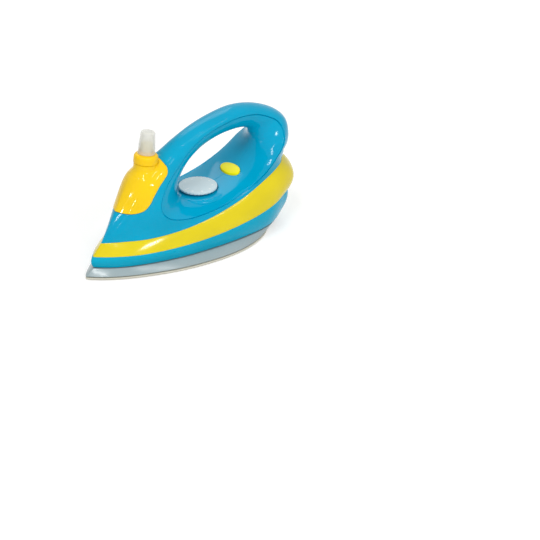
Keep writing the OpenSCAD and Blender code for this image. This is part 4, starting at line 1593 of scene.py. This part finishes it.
@dataclass
class Dial:
    """The turning dial: a disc with a notched edge, plain raised marks, a hub and a shaft.

    The hub is given by the radius and the height of its steps, from the shaft's foot up.
    """

    r: float = 15.8
    t: float = 1.6
    lift: float = 1.8
    hub: tuple = ((2.6, 37.72), (2.6, 40.12), (4, 40.12), (4, 45.12), (7, 45.12))
    notches: int = 30
    notch: float = 0.45
    notch_fades: float = 3.0
    notch_steps: int = 12
    marks: int = 9
    marks_r: float = 11.8
    marks_sweep: float = 300.0
    mark_r: float = 0.45
    mark_grows: float = 0.07
    mark_h: float = 0.06
    mark_sunk: float = 0.05
    mark_steps: int = 24
    pointer_r: float = 11.3
    pointer: tuple = (4.4, 0.9, 0.12)

    def disc(self) -> bmesh.types.BMesh:
        """The notched disc with its hub and shaft.

        Returns:
            The form, in millimetres.
        """
        turn = full_turn(self.notch_steps * self.notches)
        wave = np.maximum(0, np.cos(turn * self.notches)) ** 3
        foot = PAD_TOP + self.lift
        top = foot + self.t

        def edge(inset: float, z: float) -> Points:
            """The notched edge.

            Args:
                inset: how far it is drawn in. The notches fade with it.
                z: its height.

            Returns:
                The ring's points.
            """
            fade = max(0.0, 1 - inset / self.notch_fades)
            radius = self.r - inset - self.notch * wave * fade
            return oval_ring(turn, radius, radius, z)

        rows = [oval_ring(turn, r, r, z) for r, z in (*self.hub, (self.hub[-1][0], foot))]
        rows += [edge(0.15, foot), edge(0, top), edge(0.8, top)]
        rows += [oval_ring(turn, r, r, top) for r in (self.r - self.notch_fades, 1)]
        return lofted(softened(rows, {2: 0.2, 4: 0.3, 6: 0.25, 7: 0.3}, False), False)

    def prints(self) -> bmesh.types.BMesh:
        """Plain raised marks: a scale of growing dots and a pointer.

        Returns:
            The form, in millimetres.
        """
        top = PAD_TOP + self.lift + self.t
        forms = []
        for k in range(self.marks):
            turn = math.radians(self.marks_sweep * (0.5 - k / (self.marks - 1)))
            at = shift(self.marks_r * math.cos(turn), self.marks_r * math.sin(turn))
            dot = rod(self.mark_r + self.mark_grows * k, top - self.mark_sunk,
                      top + self.mark_h, self.mark_steps)
            forms.append(moved(dot, at))
        return joined(*forms, block(shift(-self.pointer_r, 0, top), self.pointer))

    def build(self, made: dict) -> None:
        """Makes and dresses the dial.

        Args:
            made: the materials by name.
        """
        at = shift(DIAL_X)
        dressed(finished(self.disc(), "dial", at), made["dial_silver"],
                "dial", "dial_silver", "temperature_dial")
        dressed(finished(self.prints(), "dial_marks", at), made["dial_print"],
                "dial", "dial_silver")


@dataclass
class Button:
    """The oval push button with its flange and guide pin.

    Its top slopes down to the nose, and the crown is given by how far each ring is drawn in
    and how high it stands.
    """

    a: float = 10.7
    b: float = 5.6
    slope: float = 15.0
    foot: float = 45.04
    flange: float = 1.6
    pin_r: float = 2.4
    pin_foot: float = 33.4
    crown: tuple = ((1.2, 0.12), (2.6, 0.3), (4.2, 0.42))
    steps: int = 128

    def build(self, finish: bpy.types.Material) -> None:
        """Makes and dresses the button.

        Args:
            finish: its material.
        """
        turn = full_turn(self.steps)
        rise = math.tan(math.radians(self.slope))
        shoulder = self.foot + self.flange

        def ring(grow: float, z: float, tilt: float = 0.0) -> Points:
            """The button's oval, grown by so much, at a height that may slope."""
            return oval_ring(turn, self.a + grow, self.b + grow, z, tilt)

        rows = [oval_ring(turn, self.pin_r, self.pin_r, z) for z in (self.pin_foot, self.foot)]
        rows += [ring(self.flange, self.foot), ring(self.flange, shoulder), ring(0, shoulder),
                 ring(0, BUTTON_TOP, rise)]
        rows += [ring(-inset, BUTTON_TOP + up, rise) for inset, up in self.crown]
        bm = lofted(softened(rows, {2: 0.2, 3: 0.2, 5: 0.45}, False), False)
        dressed(finished(bm, "button", shift(BUTTON_X)), finish, "button", "button_yellow",
                "steam_button")


@dataclass
class Spring:
    """A wound spring of round wire."""

    name: str
    node: str
    body: str
    joint: str
    r: float
    turns: int
    height: float
    foot: Matrix
    stroke: float
    wire: float = 0.3
    wire_sides: int = 12
    steps: int = 28

    def build(self, finish: bpy.types.Material) -> None:
        """Winds and dresses the spring.

        Args:
            finish: its material.
        """
        bm = bmesh.new()
        bmesh.ops.create_circle(bm, cap_ends=False, radius=self.wire, segments=self.wire_sides)
        moved(bm, shift(self.r, 0, self.wire) @ quarter("X"))
        wound = self.turns * self.steps
        rise = (self.height - 2 * self.wire) / wound
        bmesh.ops.spin(
            bm, geom=bm.verts[:] + bm.edges[:], axis=(0, 0, 1), cent=(0, 0, 0), dvec=(0, 0, rise),
            angle=2 * math.pi * self.turns, steps=wound, use_merge=False,
        )
        bmesh.ops.remove_doubles(bm, verts=bm.verts, dist=WELD)
        bmesh.ops.holes_fill(bm, edges=[e for e in bm.edges if e.is_boundary], sides=0)
        spring = finished(bm, self.name, self.foot)
        dressed(spring, finish, self.body, "steel", self.node)
        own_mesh(spring)


@dataclass
class Screws:
    """One size of cross-recessed screw at all its places, each driven upwards from its seat.

    A place is two numbers, and a third where its screw has a length of its own. The head's
    dome is given by shares of its radius and heights, and one ridge of the thread by shares
    of its depth and heights.
    """

    name: str
    node: str
    body: str
    seat: float
    length: float
    places: list
    turned_to: Optional[Matrix] = None
    head_r: float = 2.8
    head_h: float = 1.6
    head_dome: tuple = ((0.55, 0.03), (0.84, 0.3))
    head_side: float = 0.45
    shank_r: float = 1.2
    neck: float = 0.8
    thread_start: float = 1.0
    thread_depth: float = 0.28
    thread: tuple = ((1, 0.0), (1, 0.45), (0, 0.7))
    pitch: float = 1.0
    tip: float = 1.2
    steps: int = 32
    recess: tuple = (2.9, 0.62, 1.9)
    recess_turn: float = 0.4
    crisp: float = 28.0

    def one(self, length: float) -> bpy.types.Object:
        """A single screw at the origin, its seat on Z = 0 and its head below it.

        Args:
            length: how far its tip is from its seat.

        Returns:
            The screw.
        """
        h, r, q = self.head_h, self.head_r, self.shank_r
        core, thread_end = q - self.thread_depth, length - self.tip
        profile = [(0, -h)] + [(share * r, up - h) for share, up in self.head_dome]
        profile += [(r, -self.head_side * h), (r, 0), (q, 0), (q, self.neck)]
        z = self.thread_start
        while z + self.pitch < thread_end:
            profile += [(q - self.thread_depth * deep, z + up) for deep, up in self.thread]
            z += self.pitch
        profile += [(core, z), (core, thread_end), (0, length)]
        screw = finished(turned(profile, self.steps), "screw")
        for turn in (0, math.pi / 2):
            at = Matrix.Rotation(turn + self.recess_turn, 4, "Z") @ shift(z=-h)
            carve(screw, finished(block(at, self.recess), "recess"), Cut.REMOVE)
        return screw

    def build(self, finish: bpy.types.Material) -> None:
        """Makes and dresses all the screws of this size.

        Args:
            finish: their material.
        """
        out = bmesh.new()
        up = shift(z=self.seat)
        for x, y, *own in self.places:
            screw = self.one(own[0] if own else self.length)
            if self.turned_to is None:
                at = shift(x, y) @ up
            else:
                at = shift(x, 0, y) @ self.turned_to @ up
            bm = bmesh.new()
            bm.from_mesh(screw.data)
            out = joined(out, moved(bm, at @ Matrix.Scale(1 / MM, 4)))
            bpy.data.objects.remove(screw)
        dressed(finished(out, self.name), finish, self.body, "screw_steel", self.node,
                crisp=self.crisp)


@dataclass
class Fastenings:
    """All springs and screws."""

    pump_spring_foot: float = -8.9
    button_spring_foot: float = 36.612
    base_lengths: tuple = (21.27, 28.83)
    bracket_apart: float = 16.5
    leaf_screw_at: tuple = (14.0, -13.0)
    shaft_foot: float = 37.72

    def springs(self) -> list:
        """The pump's spring and the button's.

        Returns:
            The two springs, ready to wind.
        """
        pump = ON_PUMP @ shift(z=self.pump_spring_foot)
        button = shift(BUTTON_X, 0, self.button_spring_foot)
        return [
            Spring("spring_in_pump", "pump_spring", "pump_core", "pump_press",
                   r=2.5, turns=6, height=11.9, foot=pump, stroke=4.0),
            Spring("spring_under_button", "button_spring", "iron", "button_press",
                   r=3.3, turns=5, height=8.43, foot=button, stroke=2.0),
        ]

    def screws(self) -> list:
        """Each size of screw and its places.

        Returns:
            The sizes, ready to make.
        """
        shell = [(p[0], p[2]) for p in place([[x, 0, z] for x, z, _ in SHELL_SCREWS])]
        base = [(p[0], k * p[1], length)
                for p, length in zip(place(BASE_SCREWS), self.base_lengths) for k in (-1, 1)]
        sole = [(p[0], p[1]) for p in place(SOLE_SCREWS)]
        bracket = [(BUTTON_X, k * self.bracket_apart) for k in (-1, 1)]
        leaf = [(DIAL_X + self.leaf_screw_at[0], self.leaf_screw_at[1])]
        return [
            Screws("screws_shell", "shell_screws", "iron", seat=-3.2, length=9.2, places=shell,
                   turned_to=quarter("X")),
            Screws("screws_base", "base_screws", "iron", seat=5.55, length=21.27, places=base),
            Screws("screws_sole", "sole_screws", "iron", seat=1.65, length=11.5, places=sole),
            Screws("screws_bracket", "bracket_screws", "iron", seat=34.41, length=8.2,
                   places=bracket),
            Screws("screw_leaf", "leaf_screw", "iron", seat=self.shaft_foot, length=4.73,
                   places=leaf),
            Screws("screw_dial", "dial_screw", "dial", seat=self.shaft_foot, length=5.8,
                   places=[(DIAL_X, 0)]),
        ]

    def build(self, made: dict) -> None:
        """Makes and dresses them all."""
        for spring in self.springs():
            spring.build(made["spring_steel"])
        for screws in self.screws():
            screws.build(made["screw_steel"])


class Hidden:
    """The inner pieces, whose CAD shapes are right and only need their finish."""

    NODES = {
        "neck_gasket": SEAL_BLACK, "pump_housing": INNER_WHITE, "pump_retainer": INNER_WHITE,
        "inlet_ball": SPRING_STEEL, "dip_tube": TUBE_MILKY, "click_wheel": INNER_WHITE,
        "click_leaf": INNER_WHITE, "button_bracket": INNER_WHITE,
    }

    def build(self, made: dict) -> None:
        """Dresses the nodes that stay as they are."""
        for node, finish in self.NODES.items():
            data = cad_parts[node].data
            data.materials.clear()
            data.materials.append(made[finish.name])
            LOG.info("%s: as in CAD, in %s", node, finish.name)


# The studio


def towards(azimuth: float, elevation: float) -> Vector:
    """The direction from the iron to a lamp or camera.

    Args:
        azimuth: degrees round from the near side, towards the heel.
        elevation: degrees above the floor.

    Returns:
        A vector of length one.
    """
    a, e = math.radians(azimuth), math.radians(elevation)
    return Vector((math.sin(a) * math.cos(e), -math.cos(a) * math.cos(e), math.sin(e)))


@dataclass(frozen=True)
class Lamp:
    """A soft lamp on a sphere round the iron.

    Level is the share of a colour's written value that it adds to a face turned to it, and
    lean turns the lamp's panel about the line to the iron.
    """

    name: str
    azimuth: float
    elevation: float
    level: float
    wide: float
    high: float
    lean: float = 0.0
    distance: float = 3.0
    aim_height: float = 0.05

    def build(self) -> None:
        """Hangs the lamp."""
        way = towards(self.azimuth, self.elevation)
        data = bpy.data.lights.new(self.name, "AREA")
        data.shape = "RECTANGLE"
        data.size, data.size_y = self.wide, self.high
        data.energy = self.level * math.pi**2 * self.distance**2
        lamp = bpy.data.objects.new(self.name, data)
        lamp.location = Vector((0, 0, self.aim_height)) + way * self.distance
        lamp.rotation_mode = "QUATERNION"
        turn = Matrix.Rotation(math.radians(self.lean), 4, "Z").to_quaternion()
        lamp.rotation_quaternion = (-way).to_track_quat("-Z", "Y") @ turn
        lamp.visible_camera = False
        bpy.context.scene.collection.objects.link(lamp)


@dataclass
class Studio:
    """Floor, light and camera.

    The camera sees the iron's nose, the anchor, at the pixel where the photograph has it, at
    so many pixels to a metre there.
    """

    ambient: float = 0.33
    floor_glow: float = 0.42
    floor_size: float = 12.0
    floor_tones: tuple = ("dbdbd9", "dededd")
    floor_cloud: float = 260.0
    floor_grain: float = 1.2
    floor_relief: float = 0.01
    floor_roughness: float = 0.7
    azimuth: float = -40.0
    elevation: float = 28.0
    distance: float = 2.5
    scale: float = 1250.0
    anchor: tuple = (-0.102, 0.0, 0.0)
    pixel: tuple = (87.9, 279.6)
    frame_px: float = 540.0
    sensor: float = 36.0

    LAMPS = (
        Lamp("key", -10, 30, level=0.31, wide=0.55, high=0.24, lean=-20),
        Lamp("strip", -66, 64, level=0.33, wide=1.8, high=0.13, lean=-32),
        Lamp("leg", 24, 43, level=0.11, wide=1.0, high=0.07),
        Lamp("brow", 12, 63, level=0.06, wide=0.75, high=0.1, lean=8),
        Lamp("side", -78, 19.5, level=0.07, wide=0.34, high=0.11),
        Lamp("spark", -56, 10, level=0.012, wide=0.07, high=0.07),
        Lamp("back", 152, 44, level=0.15, wide=1.3, high=1.3),
    )
    SEEN_BY = ("Is Glossy Ray", "Is Transmission Ray")

    def floor(self) -> None:
        """A plain pale floor with a faint grain."""
        p = Paint("floor_pale")
        tone = p.band(p.noise(self.floor_cloud), low=0.3, high=0.7)
        colour = p.blend(tone, *(linear(code) for code in self.floor_tones))
        seen = p.node("ShaderNodeLightPath", output="Is Camera Ray")
        for ray in self.SEEN_BY:
            seen = seen + p.node("ShaderNodeLightPath", output=ray)
        glow = p.blend(seen, (0, 0, 0, 1), (1, 1, 1, 1))
        shader = p.node(
            "ShaderNodeBsdfPrincipled", {},
            {"Base Color": colour, "Roughness": self.floor_roughness,
             "Normal": p.bump(p.noise(self.floor_grain), self.floor_relief),
             "Emission Color": glow, "Emission Strength": self.floor_glow},
            "BSDF")
        bm = bmesh.new()
        bmesh.ops.create_grid(bm, x_segments=8, y_segments=8, size=self.floor_size / 2 / MM)
        floor = finished(bm, "floor")
        floor.data.materials.append(p.finish(shader))

    def sky(self) -> None:
        """An even surround that looks plain white to the camera and in reflections."""
        world = bpy.data.worlds.new("surround")
        world.use_nodes = True
        tree = world.node_tree
        tree.nodes.clear()
        path = tree.nodes.new("ShaderNodeLightPath")
        seen = path.outputs["Is Camera Ray"]
        for ray in self.SEEN_BY:
            either = tree.nodes.new("ShaderNodeMath")
            either.operation = "MAXIMUM"
            tree.links.new(seen, either.inputs[0])
            tree.links.new(path.outputs[ray], either.inputs[1])
            seen = either.outputs[0]
        mix = tree.nodes.new("ShaderNodeMixShader")
        tree.links.new(seen, mix.inputs[0])
        for socket, strength in ((1, self.ambient), (2, 1.0)):
            shader = tree.nodes.new("ShaderNodeBackground")
            shader.inputs["Color"].default_value = (1, 1, 1, 1)
            shader.inputs["Strength"].default_value = strength
            tree.links.new(shader.outputs[0], mix.inputs[socket])
        out = tree.nodes.new("ShaderNodeOutputWorld")
        tree.links.new(mix.outputs[0], out.inputs["Surface"])
        bpy.context.scene.world = world

    def camera(self) -> None:
        """The camera, at the photograph's angle and framing."""
        a = math.radians(self.azimuth)
        back = towards(self.azimuth, self.elevation)
        right = Vector((math.cos(a), math.sin(a), 0))
        up = back.cross(right)
        x = (self.pixel[0] - self.frame_px / 2) / self.scale
        y = (self.frame_px / 2 - self.pixel[1]) / self.scale
        data = bpy.data.cameras.new("camera")
        data.sensor_width = self.sensor
        data.lens = self.scale * self.distance / self.frame_px * self.sensor
        camera = bpy.data.objects.new("camera", data)
        camera.location = Vector(self.anchor) - right * x - up * y + back * self.distance
        camera.rotation_mode = "QUATERNION"
        camera.rotation_quaternion = Matrix((right, up, back)).transposed().to_quaternion()
        bpy.context.scene.collection.objects.link(camera)
        bpy.context.scene.camera = camera

    def build(self) -> None:
        """Sets the scene."""
        self.floor()
        self.sky()
        self.camera()
        for lamp in self.LAMPS:
            lamp.build()
        bpy.context.scene.view_settings.view_transform = "Standard"


def main() -> None:
    """Mixes the finishes, sets the studio and builds the pieces in order."""
    logging.basicConfig(level=logging.INFO, format="%(message)s")
    made = {finish.name: finish.build() for finish in FINISHES}
    Studio().build()
    LowerBody().build(made)
    BlueBody().build(made["body_blue"])
    Tank().build(made["tank_yellow"])
    Sprayer().build(made)
    Dial().build(made)
    Button().build(made["button_yellow"])
    Fastenings().build(made)
    Hidden().build(made)


if __name__ == "__main__":
    main()
